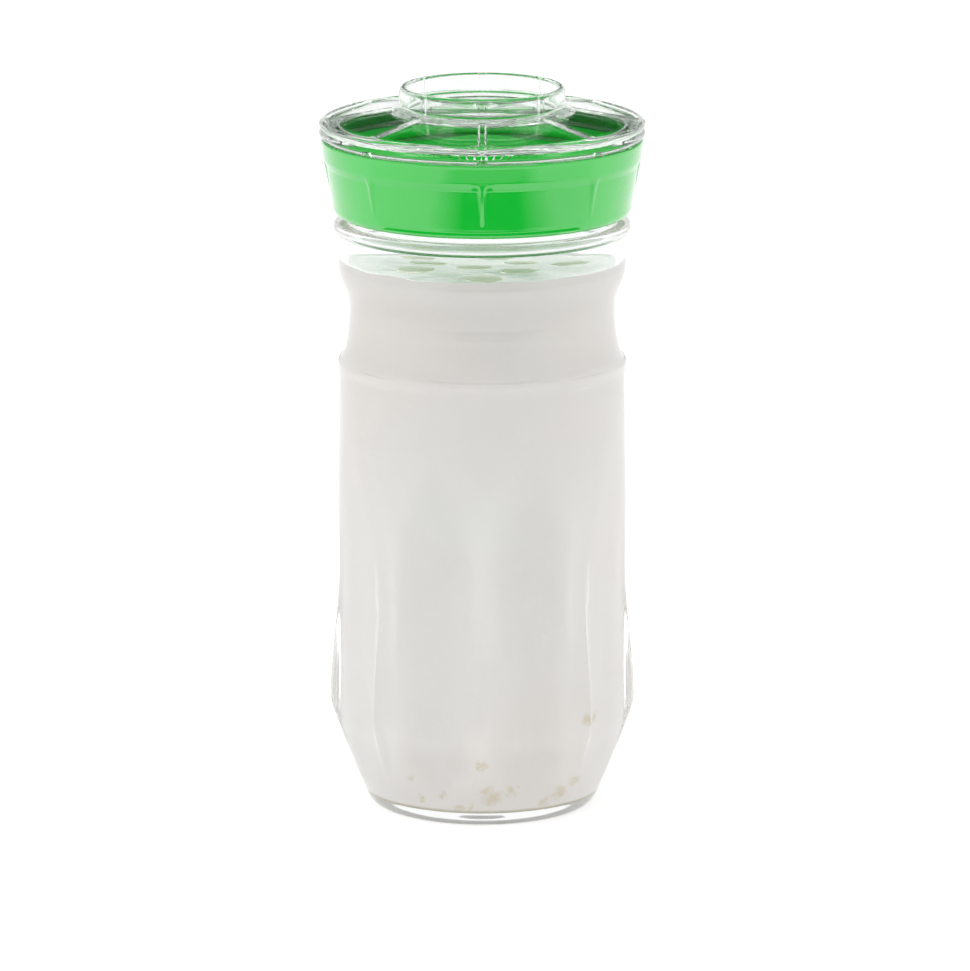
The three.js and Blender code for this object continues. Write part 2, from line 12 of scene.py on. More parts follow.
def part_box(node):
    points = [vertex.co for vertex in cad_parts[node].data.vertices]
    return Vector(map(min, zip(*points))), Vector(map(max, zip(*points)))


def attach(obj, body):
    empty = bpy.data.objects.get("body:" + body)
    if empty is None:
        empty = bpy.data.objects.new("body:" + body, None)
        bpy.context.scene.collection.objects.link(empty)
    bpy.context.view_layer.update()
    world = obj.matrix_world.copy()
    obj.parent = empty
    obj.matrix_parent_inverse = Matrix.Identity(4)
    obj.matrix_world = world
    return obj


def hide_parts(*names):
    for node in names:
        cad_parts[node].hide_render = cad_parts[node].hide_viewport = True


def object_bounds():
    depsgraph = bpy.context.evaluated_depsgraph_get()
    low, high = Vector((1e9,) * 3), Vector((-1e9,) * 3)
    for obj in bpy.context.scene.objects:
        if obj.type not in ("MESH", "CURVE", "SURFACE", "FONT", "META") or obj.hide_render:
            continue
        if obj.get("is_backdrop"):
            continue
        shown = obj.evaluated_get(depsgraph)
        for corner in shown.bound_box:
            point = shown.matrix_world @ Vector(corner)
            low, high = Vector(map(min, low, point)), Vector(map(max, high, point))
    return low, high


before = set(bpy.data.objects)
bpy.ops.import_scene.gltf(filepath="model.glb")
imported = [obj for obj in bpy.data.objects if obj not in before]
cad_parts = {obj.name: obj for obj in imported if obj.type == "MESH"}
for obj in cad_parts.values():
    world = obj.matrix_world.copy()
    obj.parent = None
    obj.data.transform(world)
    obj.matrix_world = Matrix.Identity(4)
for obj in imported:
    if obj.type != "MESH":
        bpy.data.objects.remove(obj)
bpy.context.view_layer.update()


# Glass jar. Clear soda-lime glass, pressed in a mould that gives the outside its eight flats, the fin on
# each edge between them, the shoulder ridge, the bead and the screw thread. The inside is round. It stands
# free on the ring round its pushed-up base.

MM = 0.001
SIDES = 8
SIDE = 2 * math.pi / SIDES
MERIDIANS_PER_SIDE = 40
MERIDIAN_CROWDING = 0.8
ROUND_PULL = 0.5523
SHARP_EDGE = math.radians(40)
MERGE_DISTANCE = 1e-6
UP, DOWN, OUT, IN = (0, 1), (0, -1), (1, 0), (-1, 0)

JAR_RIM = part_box("glass_jar")[1].z / MM
BEARING_RADIUS = 31.5
BEARING_WIDTH = 5
PUSH_UP = 2.5
FOOT = (34.85, 4.1)
KNEE = (43.6, 24.7)
KNEE_ROUNDING = 2
BODY_TOP = (41.9, 130.2)
RIDGE_RADIUS = 42.3
RIDGE_TOP = 133.6
RIDGE_EASE = 1
RIDGE_EDGE = 0.6
WAIST = (38.95, 148.6)
NECK_RADIUS = 42.1
NECK_FOOT = 162.6
BEAD_FOOT = 171.3
BEAD_TOP = 174.6
BEAD_PULL = 43.85
FINISH_RADIUS = 39.6
FINISH_FILLET = 0.3
BORE_RADIUS = 37.2
BORE_FOOT = 184
BORE_TAPER_END = 167
BORE_EASE = 4
RIM_ROUNDING = 0.9
GLASS_WALL = 2.8
GLASS_FLOOR = 4
FLOOR_CORNER = 5
FLOOR_PULL = 0.75
GLASS_TINT = (0.985, 0.995, 0.99, 1)

# Pulls of the half sections' curves.
PUSH_UP_PULLS = ((10, PUSH_UP), (18, 0.6))
HEEL_PULLS = ((33.2, 0), (34.2, 2.4))
SHOULDER_PULL = 40.6
WAIST_PULL = 141
INNER_SHOULDER_PULL = 139
INNER_BODY_PULLS = (110, 92)
INNER_BODY_SWELL = 0.6
FLOOR_END_EASE = 8
FLOOR_MIDDLE_EASE = 10

FLATS_TOP = 115.7
FLATS_MEET = 70
FLAT_SHARE = math.cos(SIDE / 2)
FLAT_SOFTNESS = 1.4
FIN_HEIGHT = 2.2
FIN_HEEL_HEIGHT = 0.5
FIN_HALF_WIDTH = 3.2
FIN_PEAK = 31.7
FIN_END = 22.7

THREAD_PITCH = 6
THREAD_HEIGHT = 1.2
THREAD_HALF_WIDTH = 1.25
THREAD_RUN_IN = 0.08
JAR_THREAD_FOOT = 177.5
JAR_THREAD_TURNS = (0, 1.4)


def ease(value, low, high):
    """0 below low, 1 above high, and a smooth rise between them."""
    share = min(max((value - low) / (high - low), 0), 1)
    return share * share * (3 - 2 * share)


def line(start, end, count):
    """A straight stretch of a half section, without its last point."""
    return [tuple(Vector(start).lerp(Vector(end), i / count)) for i in range(count)]


def curve(start, pull, push, end, count):
    """A Bezier stretch of a half section, without its last point."""
    points = interpolate_bezier(Vector(start), Vector(pull), Vector(push), Vector(end), count + 1)
    return [tuple(point) for point in points[:-1]]


def corner(start, tip, end, count):
    """A rounded corner of a half section, without its last point."""
    pull = Vector(start).lerp(Vector(tip), ROUND_PULL)
    push = Vector(end).lerp(Vector(tip), ROUND_PULL)
    return curve(start, pull, push, end, count)


def rounding(tip, back, on, size, count):
    """A square corner, rounded by a size; back and on point along the sides that meet there."""
    tip = Vector(tip)
    return corner(tip + size * Vector(back), tip, tip + size * Vector(on), count)


def edge_distance(angle, radius):
    """How far a place on the round is from the nearest edge between two sides."""
    share = angle / SIDE % 1
    return min(share, 1 - share) * SIDE * radius


def shape(verts, form):
    """Moves each vertex to the radius and height that a form gives for its place."""
    for vert in verts:
        angle = math.atan2(vert.co.y, vert.co.x)
        radius, height = form(vert.co.xy.length / MM, vert.co.z / MM, angle)
        vert.co = Vector((radius * math.cos(angle), radius * math.sin(angle), height)) * MM


def swept(mesh, section, sweep, steps):
    """Sweeps a half section about Z through one part of a round, and repeats that part all round."""
    start = [mesh.verts.new((radius * MM, 0, height * MM)) for radius, height in section]
    edges = [mesh.edges.new(pair) for pair in zip(start, start[1:])]
    about = {"cent": (0, 0, 0), "axis": (0, 0, 1)}
    bmesh.ops.spin(mesh, geom=start + edges, angle=sweep, steps=steps, **about)
    part = [vert for vert in mesh.verts if not vert.tag]
    sector = part + list({edge for vert in part for edge in vert.link_edges})
    sector += list({face for vert in part for face in vert.link_faces})
    repeats = round(2 * math.pi / sweep) - 1
    bmesh.ops.spin(mesh, geom=sector, angle=repeats * sweep, steps=repeats, use_duplicate=True, **about)
    made = [vert for vert in mesh.verts if not vert.tag]
    bmesh.ops.remove_doubles(mesh, verts=made, dist=MERGE_DISTANCE)
    made = [vert for vert in mesh.verts if not vert.tag]
    for vert in made:
        vert.tag = True
    return made


def turn(mesh, section, crowds=1):
    """Turns a half section about Z, with its meridians crowded at the edges between the sides."""
    verts = swept(mesh, section, SIDE, MERIDIANS_PER_SIDE)
    for vert in verts:
        angle = math.atan2(vert.co.y, vert.co.x)
        wave = 2 * math.pi * crowds
        angle -= MERIDIAN_CROWDING * math.sin(wave * angle / SIDE) / wave * SIDE
        radius = vert.co.xy.length
        vert.co.xy = (radius * math.cos(angle), radius * math.sin(angle))
    return verts


def finished(name, mesh, material, body, slot, *nodes):
    """Closes a mesh and makes it the piece that stands for some nodes of the frame."""
    bmesh.ops.remove_doubles(mesh, verts=mesh.verts, dist=MERGE_DISTANCE)
    bmesh.ops.recalc_face_normals(mesh, faces=mesh.faces)
    data = bpy.data.meshes.new(name)
    mesh.to_mesh(data)
    mesh.free()
    data.shade_smooth()
    data.set_sharp_from_angle(angle=SHARP_EDGE)
    data.materials.append(material)
    piece = bpy.data.objects.new(name, data)
    bpy.context.scene.collection.objects.link(piece)
    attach(piece, body)
    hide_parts(*nodes)
    return piece


class Finish:
    """A material of one Principled shader, and the nodes that vary it over the piece."""

    def __init__(self, name, **sockets):
        self.material = bpy.data.materials.new(name)
        self.material.use_nodes = True
        self.tree = self.material.node_tree
        self.shader = self.tree.nodes["Principled BSDF"]
        for socket, value in sockets.items():
            self.shader.inputs[socket.replace("_", " ")].default_value = value
        self.place = self.node("TexCoord").outputs["Object"]

    def node(self, kind, **settings):
        made = self.tree.nodes.new("ShaderNode" + kind)
        for name, value in settings.items():
            setattr(made, name, value)
        return made

    def link(self, source, target):
        self.tree.links.new(source, target)

    def speckle(self, scale, detail=2, stretch=(1, 1, 1)):
        """Noise of one grain size, from 0 to 1, over the piece's own coordinates."""
        mapping = self.node("Mapping")
        mapping.inputs["Scale"].default_value = stretch
        self.link(self.place, mapping.inputs["Vector"])
        texture = self.node("TexNoise")
        texture.inputs["Scale"].default_value = scale
        texture.inputs["Detail"].default_value = detail
        self.link(mapping.outputs["Vector"], texture.inputs["Vector"])
        return texture.outputs["Fac"]

    def spread(self, source, low=0, high=1, start=0.3, end=0.7):
        """A stretch of a value, a noise's middle unless told, made to run between two values."""
        span = self.node("MapRange")
        span.inputs["From Min"].default_value = start
        span.inputs["From Max"].default_value = end
        span.inputs["To Min"].default_value = low
        span.inputs["To Max"].default_value = high
        self.link(source, span.inputs["Value"])
        return span.outputs["Result"]

    def tint(self, share, first, second):
        """A colour that runs from the first to the second with a share."""
        mix = self.node("Mix", data_type="RGBA")
        # The colours of a Mix node are its inputs 6 and 7, and the mixed one is its output 2.
        for index, colour in ((6, first), (7, second)):
            if isinstance(colour, tuple):
                mix.inputs[index].default_value = (*colour, 1)
            else:
                self.link(colour, mix.inputs[index])
        self.link(share, mix.inputs[0])
        return mix.outputs[2]

    def rise(self, start, end, low=0, high=1):
        """A value that runs between two heights of the piece, in millimetres."""
        parts = self.node("SeparateXYZ")
        self.link(self.place, parts.inputs["Vector"])
        return self.spread(parts.outputs["Z"], low, high, start * MM, end * MM)

    def upward(self):
        """How far a face looks up: 1 on a level top, -1 on a level underside."""
        parts = self.node("SeparateXYZ")
        self.link(self.node("NewGeometry").outputs["Normal"], parts.inputs["Vector"])
        return parts.outputs["Z"]

    def paint(self, colour):
        self.link(colour, self.shader.inputs["Base Color"])

    def gloss(self, roughness):
        self.link(roughness, self.shader.inputs["Roughness"])

    def relief(self, height, depth):
        """Bumps of a depth in millimetres."""
        bump = self.node("Bump")
        bump.inputs["Distance"].default_value = depth * MM
        self.link(height, bump.inputs["Height"])
        self.link(bump.outputs["Normal"], self.shader.inputs["Normal"])


def flat_share(height):
    """0 where the body is round, 1 where its flats meet edge to edge."""
    return (1 - ease(height, FLATS_MEET, FLATS_TOP)) * ease(height, FOOT[1], KNEE[1])


def fin_height(height):
    """How far a fin stands out at a height."""
    if height > FIN_PEAK:
        return FIN_HEIGHT * (1 - ease(height, FIN_PEAK, FLATS_MEET))
    on_heel = FIN_HEEL_HEIGHT * ease(height, FOOT[1], KNEE[1])
    return on_heel + (FIN_HEIGHT - FIN_HEEL_HEIGHT) * ease(height, FIN_END, FIN_PEAK)


def thread(height, angle, foot, turns):
    """How far a right-handed thread stands out at a place on the round."""
    first, last = turns
    tallest = 0
    for whole in range(math.ceil(last)):
        along = angle / (2 * math.pi) % 1 + whole
        run = ease(along, first, first + THREAD_RUN_IN) * ease(last - along, 0, THREAD_RUN_IN)
        off = abs(height - foot - along * THREAD_PITCH)
        tallest = max(tallest, THREAD_HEIGHT * run * ease(THREAD_HALF_WIDTH - off, 0, THREAD_HALF_WIDTH))
    return tallest


def jar_form(radius, height, angle):
    """The outside of the glass, with its flats, fins and thread."""
    share = flat_share(height)
    off_middle = (angle / SIDE % 1 - 0.5) * SIDE
    flat = radius * (1 - share * (1 - FLAT_SHARE)) / math.cos(off_middle)
    wall = (radius + flat - math.hypot(radius - flat, FLAT_SOFTNESS * share)) / 2
    wall += fin_height(height) * ease(FIN_HALF_WIDTH - edge_distance(angle, radius), 0, FIN_HALF_WIDTH)
    if height > BEAD_TOP:
        wall += thread(height, angle, JAR_THREAD_FOOT, JAR_THREAD_TURNS)
    return wall, height


knee_start = Vector(KNEE).lerp(Vector(FOOT), KNEE_ROUNDING / (KNEE[1] - FOOT[1]))
knee_end = Vector(KNEE).lerp(Vector(BODY_TOP), KNEE_ROUNDING / (BODY_TOP[1] - KNEE[1]))
fins_top = Vector(KNEE).lerp(Vector(BODY_TOP), (FLATS_MEET - KNEE[1]) / (BODY_TOP[1] - KNEE[1]))
ridge_middle = (BODY_TOP[1] + RIDGE_TOP) / 2
waist_rise = (WAIST[1] + NECK_FOOT) / 2
jar_outside = (
    curve((0, PUSH_UP), *PUSH_UP_PULLS, (BEARING_RADIUS - BEARING_WIDTH, 0), 8)
    + line((BEARING_RADIUS - BEARING_WIDTH, 0), (BEARING_RADIUS, 0), 3)
    + curve((BEARING_RADIUS, 0), *HEEL_PULLS, FOOT, 8)
    + line(FOOT, knee_start, 16)
    + corner(knee_start, KNEE, knee_end, 12)
    + line(knee_end, fins_top, 40)
    + line(fins_top, BODY_TOP, 20)
    + curve(
        BODY_TOP,
        (RIDGE_RADIUS, BODY_TOP[1]),
        (RIDGE_RADIUS, ridge_middle - RIDGE_EASE),
        (RIDGE_RADIUS, ridge_middle),
        6,
    )
    + line((RIDGE_RADIUS, ridge_middle), (RIDGE_RADIUS, RIDGE_TOP - RIDGE_EDGE), 2)
    + rounding((RIDGE_RADIUS, RIDGE_TOP), DOWN, IN, RIDGE_EDGE, 4)
    + curve(
        (RIDGE_RADIUS - RIDGE_EDGE, RIDGE_TOP),
        (SHOULDER_PULL, RIDGE_TOP),
        (WAIST[0], WAIST_PULL),
        WAIST,
        14,
    )
    + curve(WAIST, (WAIST[0], waist_rise), (NECK_RADIUS, waist_rise), (NECK_RADIUS, NECK_FOOT), 14)
    + line((NECK_RADIUS, NECK_FOOT), (NECK_RADIUS, BEAD_FOOT), 2)
    + curve(
        (NECK_RADIUS, BEAD_FOOT),
        (BEAD_PULL, BEAD_FOOT),
        (BEAD_PULL, BEAD_TOP),
        (NECK_RADIUS, BEAD_TOP),
        12,
    )
    + line((NECK_RADIUS, BEAD_TOP), (FINISH_RADIUS + FINISH_FILLET, BEAD_TOP), 3)
    + rounding((FINISH_RADIUS, BEAD_TOP), OUT, UP, FINISH_FILLET, 3)
    + line((FINISH_RADIUS, BEAD_TOP + FINISH_FILLET), (FINISH_RADIUS, JAR_RIM - RIM_ROUNDING), 32)
    + rounding((FINISH_RADIUS, JAR_RIM), DOWN, IN, RIM_ROUNDING, 5)
    + [(FINISH_RADIUS - RIM_ROUNDING, JAR_RIM)]
)

inner_knee = (KNEE[0] * FLAT_SHARE - GLASS_WALL, KNEE[1] + GLASS_WALL)
inner_meet = (fins_top.x * FLAT_SHARE - GLASS_WALL, FLATS_MEET)
inner_top = (BODY_TOP[0] - GLASS_WALL, RIDGE_TOP)
inner_waist = (WAIST[0] - GLASS_WALL, WAIST[1])
inner_neck = NECK_RADIUS - GLASS_WALL
floor_tip = Vector((FOOT[0] - GLASS_WALL, GLASS_FLOOR))
floor_end = (floor_tip.x - FLOOR_CORNER, GLASS_FLOOR)
floor_middle = (0, GLASS_FLOOR + PUSH_UP / 2)
knee_pull = Vector(inner_knee).lerp(floor_tip, FLOOR_PULL)
floor_pull = Vector(floor_end).lerp(floor_tip, FLOOR_PULL)
cavity = (
    curve((inner_neck, NECK_FOOT), (inner_neck, waist_rise), (inner_waist[0], waist_rise), inner_waist, 14)
    + curve(inner_waist, (inner_waist[0], WAIST_PULL), (inner_top[0], INNER_SHOULDER_PULL), inner_top, 12)
    + curve(
        inner_top,
        (inner_top[0] + INNER_BODY_SWELL, INNER_BODY_PULLS[0]),
        (inner_meet[0], INNER_BODY_PULLS[1]),
        inner_meet,
        14,
    )
    + line(inner_meet, inner_knee, 4)
    + curve(inner_knee, knee_pull, floor_pull, floor_end, 16)
    + curve(
        floor_end,
        (floor_end[0] - FLOOR_END_EASE, GLASS_FLOOR),
        (FLOOR_MIDDLE_EASE, floor_middle[1]),
        floor_middle,
        8,
    )
    + [floor_middle]
)
jar_inside = (
    line((FINISH_RADIUS - RIM_ROUNDING, JAR_RIM), (BORE_RADIUS + RIM_ROUNDING, JAR_RIM), 3)
    + rounding((BORE_RADIUS, JAR_RIM), OUT, DOWN, RIM_ROUNDING, 5)
    + line((BORE_RADIUS, JAR_RIM - RIM_ROUNDING), (BORE_RADIUS, BORE_FOOT), 6)
    + curve(
        (BORE_RADIUS, BORE_FOOT),
        (BORE_RADIUS, BORE_FOOT - BORE_EASE),
        (inner_neck, BORE_TAPER_END + BORE_EASE),
        (inner_neck, BORE_TAPER_END),
        12,
    )
    + line((inner_neck, BORE_TAPER_END), (inner_neck, NECK_FOOT), 3)
    + cavity
)

glass = Finish("clear_jar_glass", Base_Color=GLASS_TINT, Transmission_Weight=1, IOR=1.5)
glass.gloss(glass.spread(glass.speckle(scale=40), high=0.02))
glass.relief(glass.speckle(scale=90, detail=1, stretch=(1, 1, 0.5)), depth=0.05)

jar_mesh = bmesh.new()
shape(turn(jar_mesh, jar_outside), jar_form)
turn(jar_mesh, jar_inside)
finished("pressed_glass_jar", jar_mesh, glass.material, "jar", "jar_glass", "glass_jar")


# Kefir. Fermented milk that fills the jar to its neck and wets the glass all round, with an uneven skin on
# top that creeps up the wall, and brown and yellow flecks of culture that have sunk to the bottom.

KEFIR_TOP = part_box("kefir_fill")[1].z / MM
WETTING = 0.06
SKIN_WAVES = 0.25
SKIN_WAVE_LENGTH = 12
TOLERANCE = 0.01
CREEP_HEIGHT = 0.8
CREEP_WIDTH = 2
CREEP_RAGGEDNESS = 0.3
MILK = (0.89, 0.88, 0.855)
# The white and the glow of the milk's top are painted light.
PAINTED_LIGHT_WHITE = (0.97, 0.97, 0.955)
PAINTED_GLOW = 0.25
WARM_MILK = (0.90, 0.858, 0.826)
SEDIMENT = (0.46, 0.43, 0.24)
SEDIMENT_TOP = GLASS_FLOOR + 1.2
FLECK = (0.62, 0.50, 0.18)
FLECK_STRENGTH = 0.42
FLECK_CORE = 0.1
FLECK_REACH = 0.55
FLECK_GRAIN = 420
FLECK_RAGGEDNESS = 0.006
LOOKS_UP = (0.6, 0.9)
LOOKS_DOWN = (-0.99, -0.93)
WET_FADE = (KEFIR_TOP - 2, KEFIR_TOP - 1)
WET_GLOSS = 0.06
WALL_GLOSS = 0.35
# Flecks at the front of the wall: angle from the front in degrees, height and size in millimetres.
FLECKS = (
    (0, 20, 2.6),
    (-36, 14, 3.2),
    (-32, 8, 2.4),
    (-20, 9, 2.8),
    (2, 12, 4.2),
    (5, 9, 6.2),
    (14, 11, 3.8),
    (-12, 5.6, 3.4),
    (-6, 6, 2.6),
    (34, 7, 4.2),
    (42, 9, 5.2),
    (50, 12, 4.2),
    (55, 30, 4.6),
)


def skin_form(radius, height, angle):
    """Waves on the milk's top, which stands higher where it clings to the wall."""
    if height < KEFIR_TOP - TOLERANCE:
        return radius, height
    place = Vector((radius * math.cos(angle), radius * math.sin(angle), 0)) / SKIN_WAVE_LENGTH
    cling = ease(radius, inner_neck - CREEP_WIDTH, inner_neck) * CREEP_HEIGHT
    wave = noise.noise(place)
    rise = SKIN_WAVES * wave + cling * (1 - CREEP_RAGGEDNESS + CREEP_RAGGEDNESS * wave)
    return radius, height + rise


milk_wall = [(radius + WETTING * (radius > 0), height - WETTING) for radius, height in cavity]
milk_top = line((inner_neck + WETTING, KEFIR_TOP), (0, KEFIR_TOP), 40) + [(0, KEFIR_TOP)]

milk = Finish("cloudy_milk", IOR=1.38)
milk.gloss(milk.rise(*WET_FADE, WALL_GLOSS, WET_GLOSS))
milk_colour = milk.tint(milk.spread(milk.speckle(scale=14)), MILK, WARM_MILK)
ragged = milk.node("VectorMath", operation="MULTIPLY_ADD")
ragged.inputs[1].default_value = [FLECK_RAGGEDNESS] * 3
fleck_noise = milk.node("TexNoise")
fleck_noise.inputs["Scale"].default_value = FLECK_GRAIN
milk.link(milk.place, fleck_noise.inputs["Vector"])
milk.link(fleck_noise.outputs["Color"], ragged.inputs[0])
milk.link(milk.place, ragged.inputs[2])
fleck_share = None
wall_points = [point for point in cavity if point[0] >= floor_end[0]]
for degrees, height, size in FLECKS:
    turned = math.radians(degrees - 90)
    out = min(wall_points, key=lambda point: abs(point[1] - height))[0]
    middle = Vector((out * math.cos(turned), out * math.sin(turned), height)) * MM
    away = milk.node("VectorMath", operation="DISTANCE")
    away.inputs[1].default_value = middle + Vector([FLECK_RAGGEDNESS / 2] * 3)
    milk.link(ragged.outputs[0], away.inputs[0])
    core = FLECK_CORE * size * MM
    reach = FLECK_REACH * size * MM
    spot = milk.spread(away.outputs["Value"], FLECK_STRENGTH, 0, core, reach)
    if fleck_share is None:
        fleck_share = spot
    else:
        darker = milk.node("Math", operation="MAXIMUM")
        milk.link(fleck_share, darker.inputs[0])
        milk.link(spot, darker.inputs[1])
        fleck_share = darker.outputs["Value"]
flecked = milk.tint(fleck_share, milk_colour, FLECK)
facing = milk.upward()
painted_light_share = milk.spread(facing, 0, 1, *LOOKS_UP)
silted = milk.tint(milk.rise(GLASS_FLOOR, SEDIMENT_TOP, low=1, high=0), flecked, SEDIMENT)
bare_foot = milk.tint(milk.spread(facing, 1, 0, *LOOKS_DOWN), silted, MILK)
# Faces that look up are painted whiter and glow a little: painted light that brightens the milk's top.
milk.paint(milk.tint(painted_light_share, bare_foot, PAINTED_LIGHT_WHITE))
milk.link(milk.spread(painted_light_share, 0, PAINTED_GLOW, 0, 1), milk.shader.inputs["Emission Strength"])
milk.relief(milk.speckle(scale=300, detail=3), depth=0.15)

milk_mesh = bmesh.new()
shape(turn(milk_mesh, milk_wall[::-1] + milk_top), skin_form)
finished("kefir", milk_mesh, milk.material, "jar", "kefir", "kefir_fill")


# Kefir grains. Soft, rubbery, cauliflower-like lumps of culture that grow in the milk and float, wet, in
# its top skin.

GRAIN_LUMPS = 1.6
GRAIN_SWELL = 0.35
GRAIN_FINE_LUMPS = 4.5
GRAIN_FINE_SWELL = 0.09
GRAIN_FREEBOARD = 0.2
CULTURE = (0.90, 0.90, 0.78)
DARK_CULTURE = (0.78, 0.79, 0.58)

# The grains glow a little in their own colour: painted light, as on the milk's top.
culture = Finish(
    "wet_culture",
    Roughness=0.25,
    Specular_IOR_Level=0.6,
    Emission_Color=(*CULTURE, 1),
    Emission_Strength=PAINTED_GLOW,
)
culture.paint(culture.tint(culture.spread(culture.speckle(scale=120)), CULTURE, DARK_CULTURE))
culture.relief(culture.speckle(scale=500, detail=3), depth=0.3)

for node in sorted(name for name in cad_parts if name.startswith("kefir_grain")):
    low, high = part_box(node)
    middle = (low + high) / 2
    half = (high - low) / 2
    grain_mesh = bmesh.new()
    bmesh.ops.create_icosphere(grain_mesh, subdivisions=5, radius=1)
    for vert in grain_mesh.verts:
        seed = vert.co + middle / MM
        lump = 1 - noise.voronoi(seed * GRAIN_LUMPS)[0][0]
        fine = 1 - noise.voronoi(seed * GRAIN_FINE_LUMPS)[0][0]
        size = (1 + GRAIN_SWELL * lump + GRAIN_FINE_SWELL * fine) / (1 + GRAIN_SWELL + GRAIN_FINE_SWELL)
        tall = half.z * (GRAIN_FREEBOARD if vert.co.z > 0 else 1)
        vert.co = middle + Vector((vert.co.x * half.x, vert.co.y * half.y, vert.co.z * tall)) * size
    finished(node.replace("kefir_", "culture_"), grain_mesh, culture.material, "jar", "grain", node)


# Strainer. A domed plate of the collar's green plastic, moulded in one with a ring of fine radial slots.
# Its flange lies on the jar's rim and the collar clamps it there.

FLANGE_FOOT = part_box("strainer")[0].z / MM
STRAINER_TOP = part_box("strainer")[1].z / MM
FLANGE_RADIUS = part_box("strainer")[1].x / MM
STRAINER_WALL = 1.5
FLANGE_TOP = FLANGE_FOOT + STRAINER_WALL
DOME_FOOT_RADIUS = 33.2
DOME_FOOT_FILLET = 1
CROWN_RADIUS = 11.5
CROWN_RISE = 1
CROWN_PULLS = ((5, STRAINER_TOP), (9, STRAINER_TOP - 0.4))
SLOT_COUNT = 65
SLOT_WIDTH = 0.75
SLOT_INNER = 13
SLOT_OUTER = 30.1
COLUMNS_PER_SLOT = 4
SLOT_ANGLE = 2 * math.pi / SLOT_COUNT
GREEN = (0.004, 0.435, 0.03)
GREEN_SHADE = (0.003, 0.405, 0.026)
# The glow of the satin green's upward faces is painted light.
GREEN_PAINTED_GLOW = 0.6
PAINTED_GLOW_FACING = (-0.3, 0.3)
SATIN = (0.4, 0.5)


def green_plastic(name, roughness, **sockets):
    """Injection-moulded green plastic with a faint orange peel."""
    green = Finish(name, **sockets)
    green.paint(green.tint(green.spread(green.speckle(scale=30)), GREEN, GREEN_SHADE))
    green.gloss(green.spread(green.speckle(scale=260, detail=4), *roughness))
    green.relief(green.speckle(scale=500, detail=1), depth=0.004)
    return green


# Faces of the satin green that look up glow green: painted light on the strainer and the collar's deck under
# the clear lid.
satin = green_plastic("satin_green_plastic_painted_glow", SATIN, Specular_IOR_Level=0.15, Emission_Color=(*GREEN, 1))
satin_painted_glow = satin.spread(satin.upward(), 0, GREEN_PAINTED_GLOW, *PAINTED_GLOW_FACING)
satin.link(satin_painted_glow, satin.shader.inputs["Emission Strength"])
satin_green = satin.material


def slot_form(vert):
    """Gathers the columns of each slot to its straight, parallel edges."""
    radius = vert.co.xy.length / MM
    column = round(math.atan2(vert.co.y, vert.co.x) / SLOT_ANGLE * COLUMNS_PER_SLOT)
    slot, part = divmod(column, COLUMNS_PER_SLOT)
    half = math.asin(SLOT_WIDTH / 2 / max(radius, SLOT_INNER))
    bar = (SLOT_ANGLE - 2 * half) / (COLUMNS_PER_SLOT - 1)
    angle = slot * SLOT_ANGLE - half + (part > 0) * 2 * half + max(part - 1, 0) * bar
    vert.co.xy = (radius * MM * math.cos(angle), radius * MM * math.sin(angle))


crown = (CROWN_RADIUS, STRAINER_TOP - CROWN_RISE)
dome_foot = (DOME_FOOT_RADIUS, FLANGE_TOP)
flange_start = (DOME_FOOT_RADIUS + DOME_FOOT_FILLET, FLANGE_TOP)
slope = Vector(dome_foot) - Vector(crown)


def on_dome(radius):
    """A place on the dome's straight slope."""
    return tuple(Vector(crown) + slope * (radius - CROWN_RADIUS) / slope.x)


strainer_section = (
    curve((0, STRAINER_TOP), *CROWN_PULLS, crown, 8)
    + line(crown, on_dome(SLOT_INNER), 2)
    + line(on_dome(SLOT_INNER), on_dome(SLOT_OUTER), 10)
    + line(on_dome(SLOT_OUTER), on_dome(DOME_FOOT_RADIUS - DOME_FOOT_FILLET), 2)
    + curve(on_dome(DOME_FOOT_RADIUS - DOME_FOOT_FILLET), dome_foot, dome_foot, flange_start, 4)
    + line(flange_start, (FLANGE_RADIUS, FLANGE_TOP), 3)
    + [(FLANGE_RADIUS, FLANGE_TOP)]
)
strainer_mesh = bmesh.new()
swept(strainer_mesh, strainer_section, SLOT_ANGLE, COLUMNS_PER_SLOT)
for vert in strainer_mesh.verts:
    slot_form(vert)
open_faces = []
for face in strainer_mesh.faces:
    spot = face.calc_center_median() / MM
    off = (math.atan2(spot.y, spot.x) + SLOT_ANGLE / 2) % SLOT_ANGLE - SLOT_ANGLE / 2
    if SLOT_INNER < spot.xy.length < SLOT_OUTER and abs(off) * spot.xy.length < SLOT_WIDTH / 4:
        open_faces.append(face)
bmesh.ops.delete(strainer_mesh, geom=open_faces, context="FACES")
# The strainer's upward faces glow in the satin green: painted light.
strainer = finished("slotted_strainer", strainer_mesh, satin_green, "strainer", "green_plastic", "strainer")
wall = strainer.modifiers.new("wall", "SOLIDIFY")
wall.thickness = STRAINER_WALL * MM
wall.offset = -1


# Collar seal. A milky silicone ring with an L section, pushed up under the collar's web. Its upper limb
# presses on the strainer's flange and its lower one on the jar's rim.

SEAL_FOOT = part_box("collar_seal")[0].z / MM
SEAL_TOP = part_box("collar_seal")[1].z / MM
SEAL_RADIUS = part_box("collar_seal")[1].x / MM
SEAL_MOUTH = 35.6
SEAL_STEP_RADIUS = 38.2
SEAL_LIMB = 1.3
SEAL_ROUNDING = 0.3
COLLAR_RUBBER = ((0.86, 0.87, 0.85), (0.80, 0.81, 0.79))


def rounded(points, size, count=4):
    """A closed half section with all its corners rounded."""
    section = []
    for before, tip, after in zip(points[-1:] + points, points, points[1:] + points[:1]):
        tip = Vector(tip)
        start = tip + (Vector(before) - tip).normalized() * size
        end = tip + (Vector(after) - tip).normalized() * size
        section += corner(start, tip, end, count) + [tuple(end)]
    return section + section[:1]


